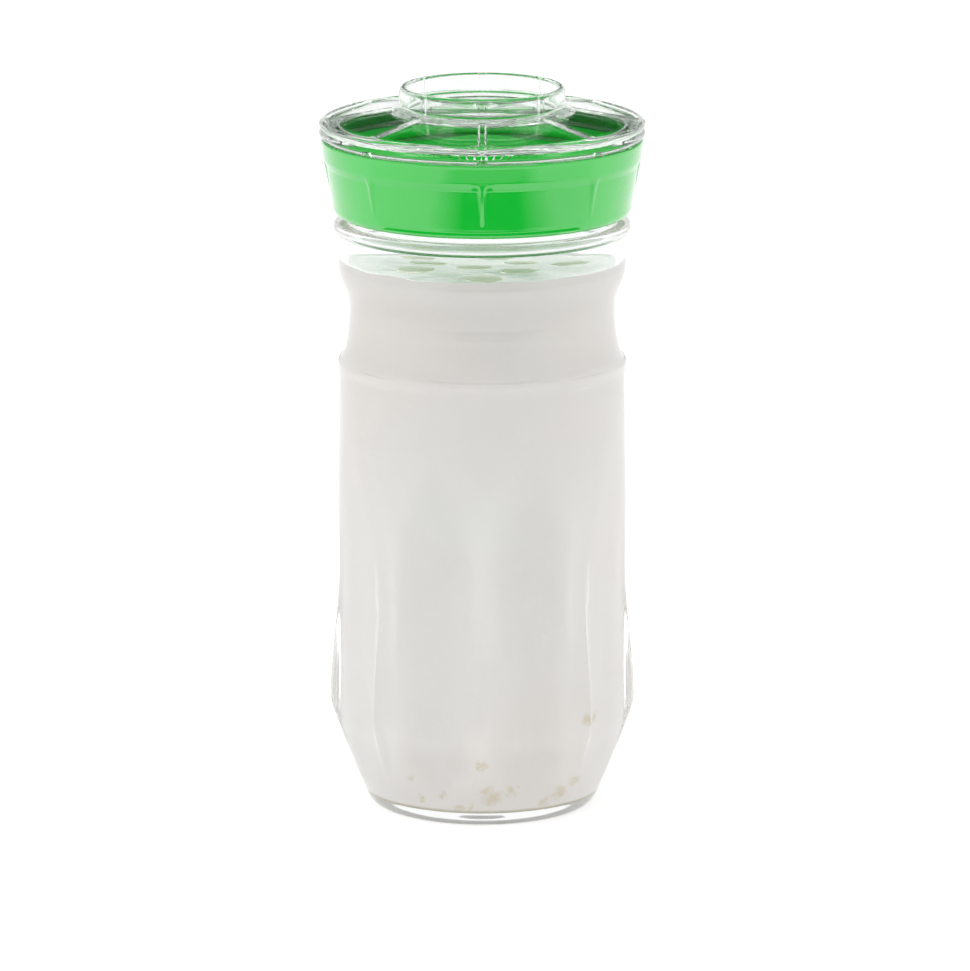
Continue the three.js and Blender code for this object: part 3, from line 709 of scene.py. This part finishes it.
def silicone(name, shades):
    """Soft, milky rubber with a matt, slightly dusty skin."""
    rubber = Finish(name, Transmission_Weight=0.25, IOR=1.41)
    rubber.paint(rubber.tint(rubber.spread(rubber.speckle(scale=60)), *shades))
    rubber.gloss(rubber.spread(rubber.speckle(scale=400, detail=4), low=0.45, high=0.6))
    rubber.relief(rubber.speckle(scale=900), depth=0.03)
    return rubber.material


seal_mesh = bmesh.new()
turn(
    seal_mesh,
    rounded(
        [
            (SEAL_STEP_RADIUS, SEAL_FOOT),
            (SEAL_RADIUS, SEAL_FOOT),
            (SEAL_RADIUS, SEAL_TOP),
            (SEAL_MOUTH, SEAL_TOP),
            (SEAL_MOUTH, SEAL_TOP - SEAL_LIMB),
            (SEAL_STEP_RADIUS, SEAL_TOP - SEAL_LIMB),
        ],
        SEAL_ROUNDING,
    ),
)
collar_silicone = silicone("collar_silicone", COLLAR_RUBBER)
finished("collar_seal_ring", seal_mesh, collar_silicone, "collar_seal", "silicone", "collar_seal")


# Screw collar. One glossy green moulding: a plain band above eight shallow panels, with a rib between each
# two that opens into the band like a Y and runs out towards the foot. Inside it has the thread, the web
# that clamps the strainer, and the recess that the lid drops into.

COLLAR_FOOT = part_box("screw_collar")[0].z / MM
COLLAR_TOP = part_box("screw_collar")[1].z / MM
COLLAR_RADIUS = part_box("screw_collar")[1].x / MM
COLLAR_BORE = 41.4
COLLAR_LEAD_IN = 0.8
PANEL_FOOT = (43.8, COLLAR_FOOT + 2.8)
PANEL_TOP = (45.5, COLLAR_TOP - 7.8)
BAND_FOOT = (46.45, COLLAR_TOP - 5.5)
STEP_ROUNDING = 0.5
WEB_FOOT = 192.5
DECK = 194.3
MOUTH_RADIUS = 34
RECESS_RADIUS = 45.1
EDGE = 0.5
LIP = 0.3
PANEL_EASE = (0.02, 0.15)
STEP_EASE = 0.06
BAND_LEAN = 0.05
GLOSSY = (0.15, 0.22)
GLOSS_RADIUS = 43
RIB_HALF_WIDTH = 0.5
RIB_FOOT_HALF_WIDTH = 0.2
RIB_FLANK = 0.9
RIB_FOOT_FLANK = 0.2
RIB_RUN_OUT = 0.05
RIB_TAIL = 1
RIB_FLARE = 1.6
RIB_FLARE_LENGTH = 1
COLLAR_THREAD_FOOT = JAR_THREAD_FOOT - THREAD_PITCH / 2
COLLAR_THREAD_TURNS = (0.6, 1.9)
VENT_HALF_WIDTH = 1.5
VENT_DEPTH = 1.2
VENT_RADIUS = 46.4
VENT_WALL = 0.05


def collar_form(radius, height, angle):
    """The collar with its ribs, its thread and its half of the vents."""
    if radius > COLLAR_BORE + COLLAR_LEAD_IN and PANEL_FOOT[1] - RIB_TAIL < height < BAND_FOOT[1]:
        below = BAND_FOOT[1] - height
        share = 1 - below / (BAND_FOOT[1] - COLLAR_FOOT)
        drop = BAND_FOOT[0] - PANEL_FOOT[0] + RIB_RUN_OUT
        crest = BAND_FOOT[0] - drop * below / (BAND_FOOT[1] - PANEL_FOOT[1])
        flank = RIB_FOOT_FLANK + (RIB_FLANK - RIB_FOOT_FLANK) * share
        half = RIB_FOOT_HALF_WIDTH + (RIB_HALF_WIDTH - RIB_FOOT_HALF_WIDTH) * share + flank
        half += RIB_FLARE * math.exp(-below / RIB_FLARE_LENGTH)
        radius += max(crest - radius, 0) * ease(half - edge_distance(angle, radius), 0, flank)
    if abs(radius - COLLAR_BORE) < TOLERANCE and height > COLLAR_FOOT + COLLAR_LEAD_IN:
        radius -= thread(height, angle, COLLAR_THREAD_FOOT, COLLAR_THREAD_TURNS)
    from_middle = SIDE * radius / 2 - edge_distance(angle, radius)
    if height > COLLAR_TOP - VENT_DEPTH and radius < VENT_RADIUS and from_middle < VENT_HALF_WIDTH:
        height = COLLAR_TOP - VENT_DEPTH
    return radius, height


collar_edge = Vector((COLLAR_RADIUS, COLLAR_TOP))
panel_end = (PANEL_TOP[0] - PANEL_EASE[0], PANEL_TOP[1] - PANEL_EASE[1])
step_start = Vector(PANEL_TOP).lerp(Vector(BAND_FOOT), STEP_EASE)
step_end = Vector(BAND_FOOT).lerp(Vector(PANEL_TOP), STEP_ROUNDING / (BAND_FOOT[1] - PANEL_TOP[1]))
band_start = Vector(BAND_FOOT).lerp(collar_edge, STEP_ROUNDING / (COLLAR_TOP - BAND_FOOT[1]))
band_end = (COLLAR_RADIUS - BAND_LEAN, COLLAR_TOP - EDGE)
collar_section = (
    line((COLLAR_BORE, COLLAR_FOOT + COLLAR_LEAD_IN), (COLLAR_BORE + COLLAR_LEAD_IN, COLLAR_FOOT), 2)
    + corner((COLLAR_BORE + COLLAR_LEAD_IN, COLLAR_FOOT), (PANEL_FOOT[0], COLLAR_FOOT), PANEL_FOOT, 10)
    + line(PANEL_FOOT, panel_end, 22)
    + corner(panel_end, PANEL_TOP, step_start, 3)
    + line(step_start, step_end, 6)
    + corner(step_end, BAND_FOOT, band_start, 5)
    + line(band_start, band_end, 5)
    + corner(band_end, collar_edge, (COLLAR_RADIUS - EDGE, COLLAR_TOP), 5)
    + line((COLLAR_RADIUS - EDGE, COLLAR_TOP), (VENT_RADIUS, COLLAR_TOP), 1)
    + line((VENT_RADIUS, COLLAR_TOP), (VENT_RADIUS - VENT_WALL, COLLAR_TOP), 1)
    + line((VENT_RADIUS - VENT_WALL, COLLAR_TOP), (RECESS_RADIUS + LIP, COLLAR_TOP), 3)
    + rounding((RECESS_RADIUS, COLLAR_TOP), OUT, DOWN, LIP, 3)
    + line((RECESS_RADIUS, COLLAR_TOP - LIP), (RECESS_RADIUS, COLLAR_TOP - VENT_DEPTH), 2)
    + line((RECESS_RADIUS, COLLAR_TOP - VENT_DEPTH), (RECESS_RADIUS, DECK + EDGE), 4)
    + rounding((RECESS_RADIUS, DECK), UP, IN, EDGE, 4)
    + line((RECESS_RADIUS - EDGE, DECK), (MOUTH_RADIUS + LIP, DECK), 8)
    + rounding((MOUTH_RADIUS, DECK), OUT, DOWN, LIP, 3)
    + line((MOUTH_RADIUS, DECK - LIP), (MOUTH_RADIUS, WEB_FOOT + LIP), 2)
    + rounding((MOUTH_RADIUS, WEB_FOOT), UP, OUT, LIP, 3)
    + line((MOUTH_RADIUS + LIP, WEB_FOOT), (COLLAR_BORE, WEB_FOOT), 6)
    + line((COLLAR_BORE, WEB_FOOT), (COLLAR_BORE, COLLAR_FOOT + COLLAR_LEAD_IN), 40)
    + [(COLLAR_BORE, COLLAR_FOOT + COLLAR_LEAD_IN)]
)
collar_mesh = bmesh.new()
shape(turn(collar_mesh, collar_section, crowds=2), collar_form)
glossy_green = green_plastic(
    "glossy_green_plastic",
    GLOSSY,
    Coat_Weight=1,
    Coat_Roughness=0.06,
    Coat_IOR=1.9,
    Specular_IOR_Level=0.1,
).material
collar = finished("green_screw_collar", collar_mesh, glossy_green, "collar", "green_plastic", "screw_collar")
# The collar's inside takes the satin green, so its deck and other upward faces glow as painted light.
collar.data.materials.append(satin_green)
for face in collar.data.polygons:
    face.material_index = face.center.xy.length < GLOSS_RADIUS * MM


# Lid seal. A thin silicone ring that sits in the groove of the lid's skirt and grips the collar's recess.
# It is moulded as one closed loop and stretched over the skirt.

lid_seal_low, lid_seal_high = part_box("lid_seal")
LID_SEAL_INNER = 43.7
LID_SEAL_ROUND = 0.4
LID_RUBBER = ((0.02, 0.50, 0.06), (0.015, 0.46, 0.05))

lid_seal_mesh = bmesh.new()
turn(
    lid_seal_mesh,
    rounded(
        [
            (LID_SEAL_INNER, lid_seal_low.z / MM),
            (lid_seal_high.x / MM, lid_seal_low.z / MM),
            (lid_seal_high.x / MM, lid_seal_high.z / MM),
            (LID_SEAL_INNER, lid_seal_high.z / MM),
        ],
        LID_SEAL_ROUND,
    ),
)
lid_silicone = silicone("lid_silicone", LID_RUBBER)
finished("lid_seal_ring", lid_seal_mesh, lid_silicone, "lid_seal", "silicone", "lid_seal")


# Clear lid. One moulding of polished clear plastic: a rim with eight corners, eight flat panels between
# ridges with a rib on each, a finger ring, a star of ribs under its middle, and a skirt that drops into the
# collar. Notches under the rim's corners are half of the vents.

LID_FOOT = COLLAR_TOP + 0.3
LID_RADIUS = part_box("clear_lid")[1].x / MM
SKIRT_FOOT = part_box("clear_lid")[0].z / MM
RING_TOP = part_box("clear_lid")[1].z / MM
LID_RIM = LID_FOOT + 5.2
RIM_EDGE = 0.8
LID_FLATTENING = 0.5
PANEL_RADIUS = 45
PANEL_DROP = 0.3
PANEL_LIP = 0.3
RING_FOOT = LID_RIM + 3
RING_FOOT_RADIUS = 25.8
RING_RADIUS = 23.9
RING_INNER = 22
RING_ROUNDING = 0.9
RING_BLEND = 1.5
RING_BLEND_HEIGHT = 1.6
RING_BLEND_PULLS = ((RING_FOOT_RADIUS - 0.3, RING_FOOT + 0.05), (RING_RADIUS, RING_FOOT + 0.5))
WELL_FILLET = 0.7
PANEL_SAG = 0.64
PANEL_RING_SAG = 0.37
LID_WALL = 2.2
CEILING = RING_FOOT - LID_WALL
CEILING_CORNER = 0.6
SKIRT_RADIUS = 44.2
SKIRT_INNER = 42.2
SKIRT_EDGE = 0.4
GROOVE_RADIUS = 43.4
GROOVE_PLAY = 0.3
GROOVE_FOOT = lid_seal_low.z / MM - GROOVE_PLAY
GROOVE_TOP = lid_seal_high.z / MM + GROOVE_PLAY
STAR_RADIUS = 14
STAR_SHARE = 0.6
STAR_DEPTH = 3
STAR_PULLS = ((5, CEILING - 2.6), (9, CEILING - 1.2))
LID_RIB_HEIGHT = 0.5
LID_RIB_HALF_WIDTH = 1.2
LID_RIB_FLANK = 0.5
RING_RIB_SHARE = 0.6
NOTCH_RADIUS = 45.8
RIM_BEADS = 2
RIM_BEAD_DEPTH = 0.5
LID_TINT = (0.975, 0.995, 0.98, 1)


def panel_height(radius):
    """The height of the ridges between the panels, which slope from the finger ring to the rim."""
    along = (radius - RING_FOOT_RADIUS) / (PANEL_RADIUS - RING_FOOT_RADIUS)
    return RING_FOOT + (LID_RIM - PANEL_DROP - RING_FOOT) * along


def sag(radius, angle):
    """How far a panel hangs below its ridges."""
    off_middle = (angle / SIDE % 1 - 0.5) * SIDE
    across = (math.cos(off_middle) - FLAT_SHARE) / (1 - FLAT_SHARE)
    along = (radius - RING_FOOT_RADIUS) / (PANEL_RADIUS - RING_FOOT_RADIUS)
    return across * (PANEL_RING_SAG + (PANEL_SAG - PANEL_RING_SAG) * along)


def lid_rib(angle, radius):
    """How far the rib on a ridge stands out."""
    return LID_RIB_HEIGHT * ease(LID_RIB_HALF_WIDTH - edge_distance(angle, radius), 0, LID_RIB_FLANK)


def on_rim(radius, height, angle):
    """The rim, a little flatter than round between its corners, with two beads round its wall."""
    bow = 1 - (2 * (angle / SIDE % 1) - 1) ** 2
    up = (height - LID_FOOT) / (LID_RIM - LID_FOOT)
    dip = 1 - abs(math.sin(up * RIM_BEADS * math.pi))
    inward = LID_FLATTENING * bow + RIM_BEAD_DEPTH * dip
    return radius - inward * ease(radius, NOTCH_RADIUS, LID_RADIUS), height


def lid_top_form(radius, height, angle):
    """The lid's rim, its panels and their ribs, which run on up the finger ring."""
    if radius > PANEL_RADIUS + RIM_EDGE:
        return on_rim(radius, height, angle)
    if radius >= RING_FOOT_RADIUS:
        fade = ease(PANEL_RADIUS + RIM_EDGE - radius, 0, RIM_EDGE)
        return radius, height - fade * sag(radius, angle) + fade * lid_rib(angle, radius)
    if radius > RING_RADIUS - RING_ROUNDING:
        fade = ease(RING_TOP - height, 0, RING_ROUNDING)
        return radius + RING_RIB_SHARE * lid_rib(angle, radius) * fade, height
    return radius, height


def lid_underside_form(radius, height, angle):
    """The star, the undersides of the panels and the lid's half of the vents."""
    if radius <= STAR_RADIUS and height < CEILING + TOLERANCE:
        ridge = abs(2 * (angle / SIDE % 1) - 1)
        return radius * (STAR_SHARE + (1 - STAR_SHARE) * ridge), height
    if RING_FOOT_RADIUS <= radius <= SKIRT_INNER and height > LID_FOOT:
        return radius, height - sag(radius, angle)
    if radius > NOTCH_RADIUS + TOLERANCE and edge_distance(angle, radius) < VENT_HALF_WIDTH:
        height = LID_FOOT + VENT_DEPTH
    return on_rim(radius, height, angle)


ceiling_end = (SKIRT_INNER - CEILING_CORNER, panel_height(SKIRT_INNER - CEILING_CORNER) - LID_WALL)
skirt_top = (SKIRT_INNER, panel_height(SKIRT_INNER) - LID_WALL)
skirt_start = (SKIRT_INNER, skirt_top[1] - CEILING_CORNER)
lid_underside = (
    curve((0, CEILING - STAR_DEPTH), *STAR_PULLS, (STAR_RADIUS, CEILING), 12)
    + line((STAR_RADIUS, CEILING), (RING_FOOT_RADIUS, CEILING), 6)
    + line((RING_FOOT_RADIUS, CEILING), ceiling_end, 14)
    + corner(ceiling_end, skirt_top, skirt_start, 4)
    + line(skirt_start, (SKIRT_INNER, SKIRT_FOOT + SKIRT_EDGE), 6)
    + rounding((SKIRT_INNER, SKIRT_FOOT), UP, OUT, SKIRT_EDGE, 3)
    + line((SKIRT_INNER + SKIRT_EDGE, SKIRT_FOOT), (SKIRT_RADIUS - SKIRT_EDGE, SKIRT_FOOT), 2)
    + rounding((SKIRT_RADIUS, SKIRT_FOOT), IN, UP, SKIRT_EDGE, 3)
    + line((SKIRT_RADIUS, SKIRT_FOOT + SKIRT_EDGE), (SKIRT_RADIUS, GROOVE_FOOT), 2)
    + line((SKIRT_RADIUS, GROOVE_FOOT), (GROOVE_RADIUS, GROOVE_FOOT), 2)
    + line((GROOVE_RADIUS, GROOVE_FOOT), (GROOVE_RADIUS, GROOVE_TOP), 3)
    + line((GROOVE_RADIUS, GROOVE_TOP), (SKIRT_RADIUS, GROOVE_TOP), 2)
    + line((SKIRT_RADIUS, GROOVE_TOP), (SKIRT_RADIUS, LID_FOOT), 2)
    + line((SKIRT_RADIUS, LID_FOOT), (NOTCH_RADIUS, LID_FOOT), 3)
    + line((NOTCH_RADIUS, LID_FOOT), (NOTCH_RADIUS + VENT_WALL, LID_FOOT), 1)
    + line((NOTCH_RADIUS + VENT_WALL, LID_FOOT), (LID_RADIUS - SKIRT_EDGE, LID_FOOT), 3)
    + rounding((LID_RADIUS, LID_FOOT), IN, UP, SKIRT_EDGE, 3)
    + line((LID_RADIUS, LID_FOOT + SKIRT_EDGE), (LID_RADIUS, LID_FOOT + VENT_DEPTH), 4)
    + [(LID_RADIUS, LID_FOOT + VENT_DEPTH)]
)
panel_edge = (PANEL_RADIUS, panel_height(PANEL_RADIUS))
blend_start = (RING_FOOT_RADIUS + RING_BLEND, panel_height(RING_FOOT_RADIUS + RING_BLEND))
blend_end = (RING_RADIUS, RING_FOOT + RING_BLEND_HEIGHT)
lid_top = (
    line((LID_RADIUS, LID_FOOT + VENT_DEPTH), (LID_RADIUS, LID_RIM - RIM_EDGE), 16)
    + rounding((LID_RADIUS, LID_RIM), DOWN, IN, RIM_EDGE, 6)
    + line((LID_RADIUS - RIM_EDGE, LID_RIM), (PANEL_RADIUS + RIM_EDGE, LID_RIM), 2)
    + curve(
        (PANEL_RADIUS + RIM_EDGE, LID_RIM),
        (PANEL_RADIUS + PANEL_LIP, LID_RIM),
        (PANEL_RADIUS + PANEL_LIP, panel_edge[1]),
        panel_edge,
        6,
    )
    + line(panel_edge, blend_start, 24)
    + curve(blend_start, *RING_BLEND_PULLS, blend_end, 10)
    + line(blend_end, (RING_RADIUS, RING_TOP - RING_ROUNDING), 6)
    + rounding((RING_RADIUS, RING_TOP), DOWN, IN, RING_ROUNDING, 6)
    + line((RING_RADIUS - RING_ROUNDING, RING_TOP), (RING_INNER + RING_ROUNDING, RING_TOP), 2)
    + rounding((RING_INNER, RING_TOP), OUT, DOWN, RING_ROUNDING, 6)
    + line((RING_INNER, RING_TOP - RING_ROUNDING), (RING_INNER, RING_FOOT + WELL_FILLET), 6)
    + rounding((RING_INNER, RING_FOOT), UP, IN, WELL_FILLET, 5)
    + line((RING_INNER - WELL_FILLET, RING_FOOT), (0, RING_FOOT), 10)
    + [(0, RING_FOOT)]
)

clear = Finish("clear_polished_plastic", Base_Color=LID_TINT, Transmission_Weight=1, IOR=1.5)
clear.gloss(clear.spread(clear.speckle(scale=50), high=0.015))
clear.relief(clear.speckle(scale=60, detail=1), depth=0.008)

lid_mesh = bmesh.new()
shape(turn(lid_mesh, lid_underside), lid_underside_form)
shape(turn(lid_mesh, lid_top), lid_top_form)
finished("clear_vented_lid", lid_mesh, clear.material, "lid", "clear_plastic", "clear_lid")


# Studio. A pale floor that keeps the jar's shadow, a white tent of light that is brightest round the
# horizon, dark cards that the clear and the glossy plastic mirror, bright strips for the glass fins, and
# two soft lamps.

FLOOR_RADIUS = 4
FLOOR_GREY = (0.65, 0.65, 0.65, 1)
FLOOR_GLOW = 0.42
WHITE = (1, 1, 1, 1)
floor_mesh = bmesh.new()
bmesh.ops.create_circle(floor_mesh, cap_ends=True, segments=64, radius=FLOOR_RADIUS)
floor_data = bpy.data.meshes.new("studio_floor")
floor_mesh.to_mesh(floor_data)
floor_mesh.free()
floor = bpy.data.objects.new("studio_floor", floor_data)
bpy.context.scene.collection.objects.link(floor)
floor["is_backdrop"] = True

floor_finish = Finish(
    "pale_floor",
    Base_Color=FLOOR_GREY,
    Roughness=1,
    Specular_IOR_Level=0,
    Emission_Color=WHITE,
    Emission_Strength=FLOOR_GLOW,
)
floor_data.materials.append(floor_finish.material)


def card(name, corners, finish):
    """A card that glass and gloss show, and that nothing else takes notice of."""
    mesh = bmesh.new()
    mesh.faces.new([mesh.verts.new(place) for place in corners])
    data = bpy.data.meshes.new(name)
    mesh.to_mesh(data)
    mesh.free()
    data.materials.append(finish.material)
    made = bpy.data.objects.new(name, data)
    made.visible_camera = False
    made.visible_diffuse = False
    made.visible_shadow = False
    bpy.context.scene.collection.objects.link(made)
    made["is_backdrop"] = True
    return made


# Each wall card: how far behind the jar's axis it stands, and the heights of its foot and its top.
WALL_CARDS = {
    "back_card": (0.1, 0.225, 0.36),
    "front_card": (-0.16, 0.235, 0.36),
}
WALL_CARD_HALF_WIDTH = 0.16
BLACK_PAPER = (0.01, 0.01, 0.01)
PALE_PAPER = (0.9, 0.9, 0.9)
black = Finish("black_card", Base_Color=(*BLACK_PAPER, 1), Roughness=1, Specular_IOR_Level=0)
for name, (away, foot, top) in WALL_CARDS.items():
    corners = ((-1, foot), (1, foot), (1, top), (-1, top))
    card(name, [(side * WALL_CARD_HALF_WIDTH, away, height) for side, height in corners], black)

# Each collar card: height, half angle and the radii that it reaches between.
COLLAR_CARDS = {
    "near_collar_card": (0.165, math.radians(55), (0.051, 0.064)),
    "far_collar_card": (0.12, math.radians(80), (0.15, 0.26)),
}
CARD_STEPS = 24
CARD_MIDDLE = 0.018
CARD_CORE = 0.055
CARD_FADE = 0.12
CARD_FAR = (-0.195, -0.175)
CARD_FAR_FADE = 0.5
graded = Finish("graded_card", Roughness=1, Specular_IOR_Level=0)
parts = graded.node("SeparateXYZ")
graded.link(graded.place, parts.inputs["Vector"])
off_middle = graded.node("Math", operation="SUBTRACT")
off_middle.inputs[1].default_value = CARD_MIDDLE
graded.link(parts.outputs["X"], off_middle.inputs[0])
reach = graded.node("Math", operation="ABSOLUTE")
graded.link(off_middle.outputs["Value"], reach.inputs[0])
fade = graded.node("Math", operation="MAXIMUM")
graded.link(graded.spread(reach.outputs["Value"], 0, 1, CARD_CORE, CARD_FADE), fade.inputs[0])
graded.link(graded.spread(parts.outputs["Y"], CARD_FAR_FADE, 0, *CARD_FAR), fade.inputs[1])
graded.paint(graded.tint(fade.outputs["Value"], BLACK_PAPER, PALE_PAPER))
for name, (height, half_angle, reaches) in COLLAR_CARDS.items():
    turns = [(2 * i / CARD_STEPS - 1) * half_angle for i in range(CARD_STEPS + 1)]
    near, far = [[(out * math.sin(a), -out * math.cos(a), height) for a in turns] for out in reaches]
    card(name, near + far[::-1], graded).visible_transmission = False

# Each bright strip: its side of the jar and its level.
STRIPS = {
    "left_strip": (-1, 2.6),
    "right_strip": (1, 3),
}
STRIP_AWAY = 0.12
STRIP_FRONT = -0.004
STRIP_BACK = 0.045
STRIP_FOOT = 0.002
STRIP_TOP = 0.05
STRIP_FADE = (36, 50)
STRIP_TOP_LEVEL = 1
for name, (side, strength) in STRIPS.items():
    bright = Finish(name, Base_Color=(0, 0, 0, 1), Specular_IOR_Level=0, Emission_Color=WHITE)
    glow = bright.rise(*STRIP_FADE, strength, STRIP_TOP_LEVEL)
    bright.link(glow, bright.shader.inputs["Emission Strength"])
    low_corners = [(STRIP_FRONT, STRIP_FOOT), (STRIP_BACK, STRIP_FOOT)]
    corners = low_corners + [(STRIP_BACK, STRIP_TOP), (STRIP_FRONT, STRIP_TOP)]
    strip = card(name, [(side * STRIP_AWAY, *place) for place in corners], bright)
    strip.visible_transmission = False

TENT_TOP = 0.8
HORIZON_LEVEL = 1.5
HORIZON = (0.15, 0.5)
world = bpy.data.worlds.new("white_tent")
bpy.context.scene.world = world
world.use_nodes = True
tent = world.node_tree
sky = tent.nodes["Background"]
sky.inputs["Color"].default_value = WHITE


def computed(operation, *sources):
    """A number of the world, worked out from others."""
    made = tent.nodes.new("ShaderNodeMath")
    made.operation = operation
    for index, source in enumerate(sources):
        if isinstance(source, (int, float)):
            made.inputs[index].default_value = source
        else:
            tent.links.new(source, made.inputs[index])
    return made.outputs["Value"]


def stepped(source, start, end):
    """A smooth step of the world from 0 to 1."""
    made = tent.nodes.new("ShaderNodeMapRange")
    made.interpolation_type = "SMOOTHSTEP"
    made.inputs["From Min"].default_value = start
    made.inputs["From Max"].default_value = end
    tent.links.new(source, made.inputs["Value"])
    return made.outputs["Result"]


# Glass and gloss show an even white tent, and matt faces are lit by its brighter horizon.
heading = tent.nodes.new("ShaderNodeTexCoord")
split = tent.nodes.new("ShaderNodeSeparateXYZ")
tent.links.new(heading.outputs["Generated"], split.inputs["Vector"])
path = tent.nodes.new("ShaderNodeLightPath")
mirrored = computed("MAXIMUM", path.outputs["Is Glossy Ray"], path.outputs["Is Transmission Ray"])
mirrored = computed("MULTIPLY", mirrored, computed("LESS_THAN", path.outputs["Diffuse Depth"], 0.5))
level = tent.nodes.new("ShaderNodeMix")
steepness = stepped(computed("ABSOLUTE", split.outputs["Z"]), *HORIZON)
dimmed = computed("MULTIPLY", steepness, HORIZON_LEVEL - TENT_TOP)
tent.links.new(computed("SUBTRACT", HORIZON_LEVEL, dimmed), level.inputs["A"])
tent.links.new(mirrored, level.inputs["Factor"])
level.inputs["B"].default_value = 1
tent.links.new(
    computed("MAXIMUM", path.outputs["Is Camera Ray"], level.outputs["Result"]), sky.inputs["Strength"]
)

# Each lamp: place and power.
LAMPS = {
    "left_softbox": (Vector((-1.1, -0.5, 1.1)), 9),
    "right_softbox": (Vector((1.2, -0.2, 1.0)), 7),
}
LAMP_SIZE = 0.9
LAMP_TARGET = Vector((0, 0, 0.1))
for name, (place, power) in LAMPS.items():
    lamp_data = bpy.data.lights.new(name, "AREA")
    lamp_data.size = LAMP_SIZE
    lamp_data.energy = power
    lamp = bpy.data.objects.new(name, lamp_data)
    lamp.location = place
    lamp.visible_glossy = False
    lamp.rotation_euler = (LAMP_TARGET - place).to_track_quat("-Z", "Y").to_euler()
    bpy.context.scene.collection.objects.link(lamp)

FOCAL_LENGTH_PIXELS = 7069
IMAGE_HEIGHT_PIXELS = 971
CAMERA_PLACE = (0.0008, -2.03, 0.5634)
CAMERA_TILT = math.radians(13)
camera_data = bpy.data.cameras.new("camera")
camera_data.lens = FOCAL_LENGTH_PIXELS / IMAGE_HEIGHT_PIXELS * camera_data.sensor_width
camera = bpy.data.objects.new("camera", camera_data)
camera.location = CAMERA_PLACE
camera.rotation_euler = (math.pi / 2 - CAMERA_TILT, 0, 0)
bpy.context.scene.collection.objects.link(camera)
bpy.context.scene.camera = camera
bpy.context.scene.view_settings.view_transform = "Standard"

# Light is mirrored many times inside the clear pieces before it leaves them.
LIGHT_BOUNCES = 32
bpy.context.scene.cycles.max_bounces = LIGHT_BOUNCES
bpy.context.scene.cycles.glossy_bounces = LIGHT_BOUNCES
bpy.context.scene.cycles.transmission_bounces = LIGHT_BOUNCES

low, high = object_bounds()
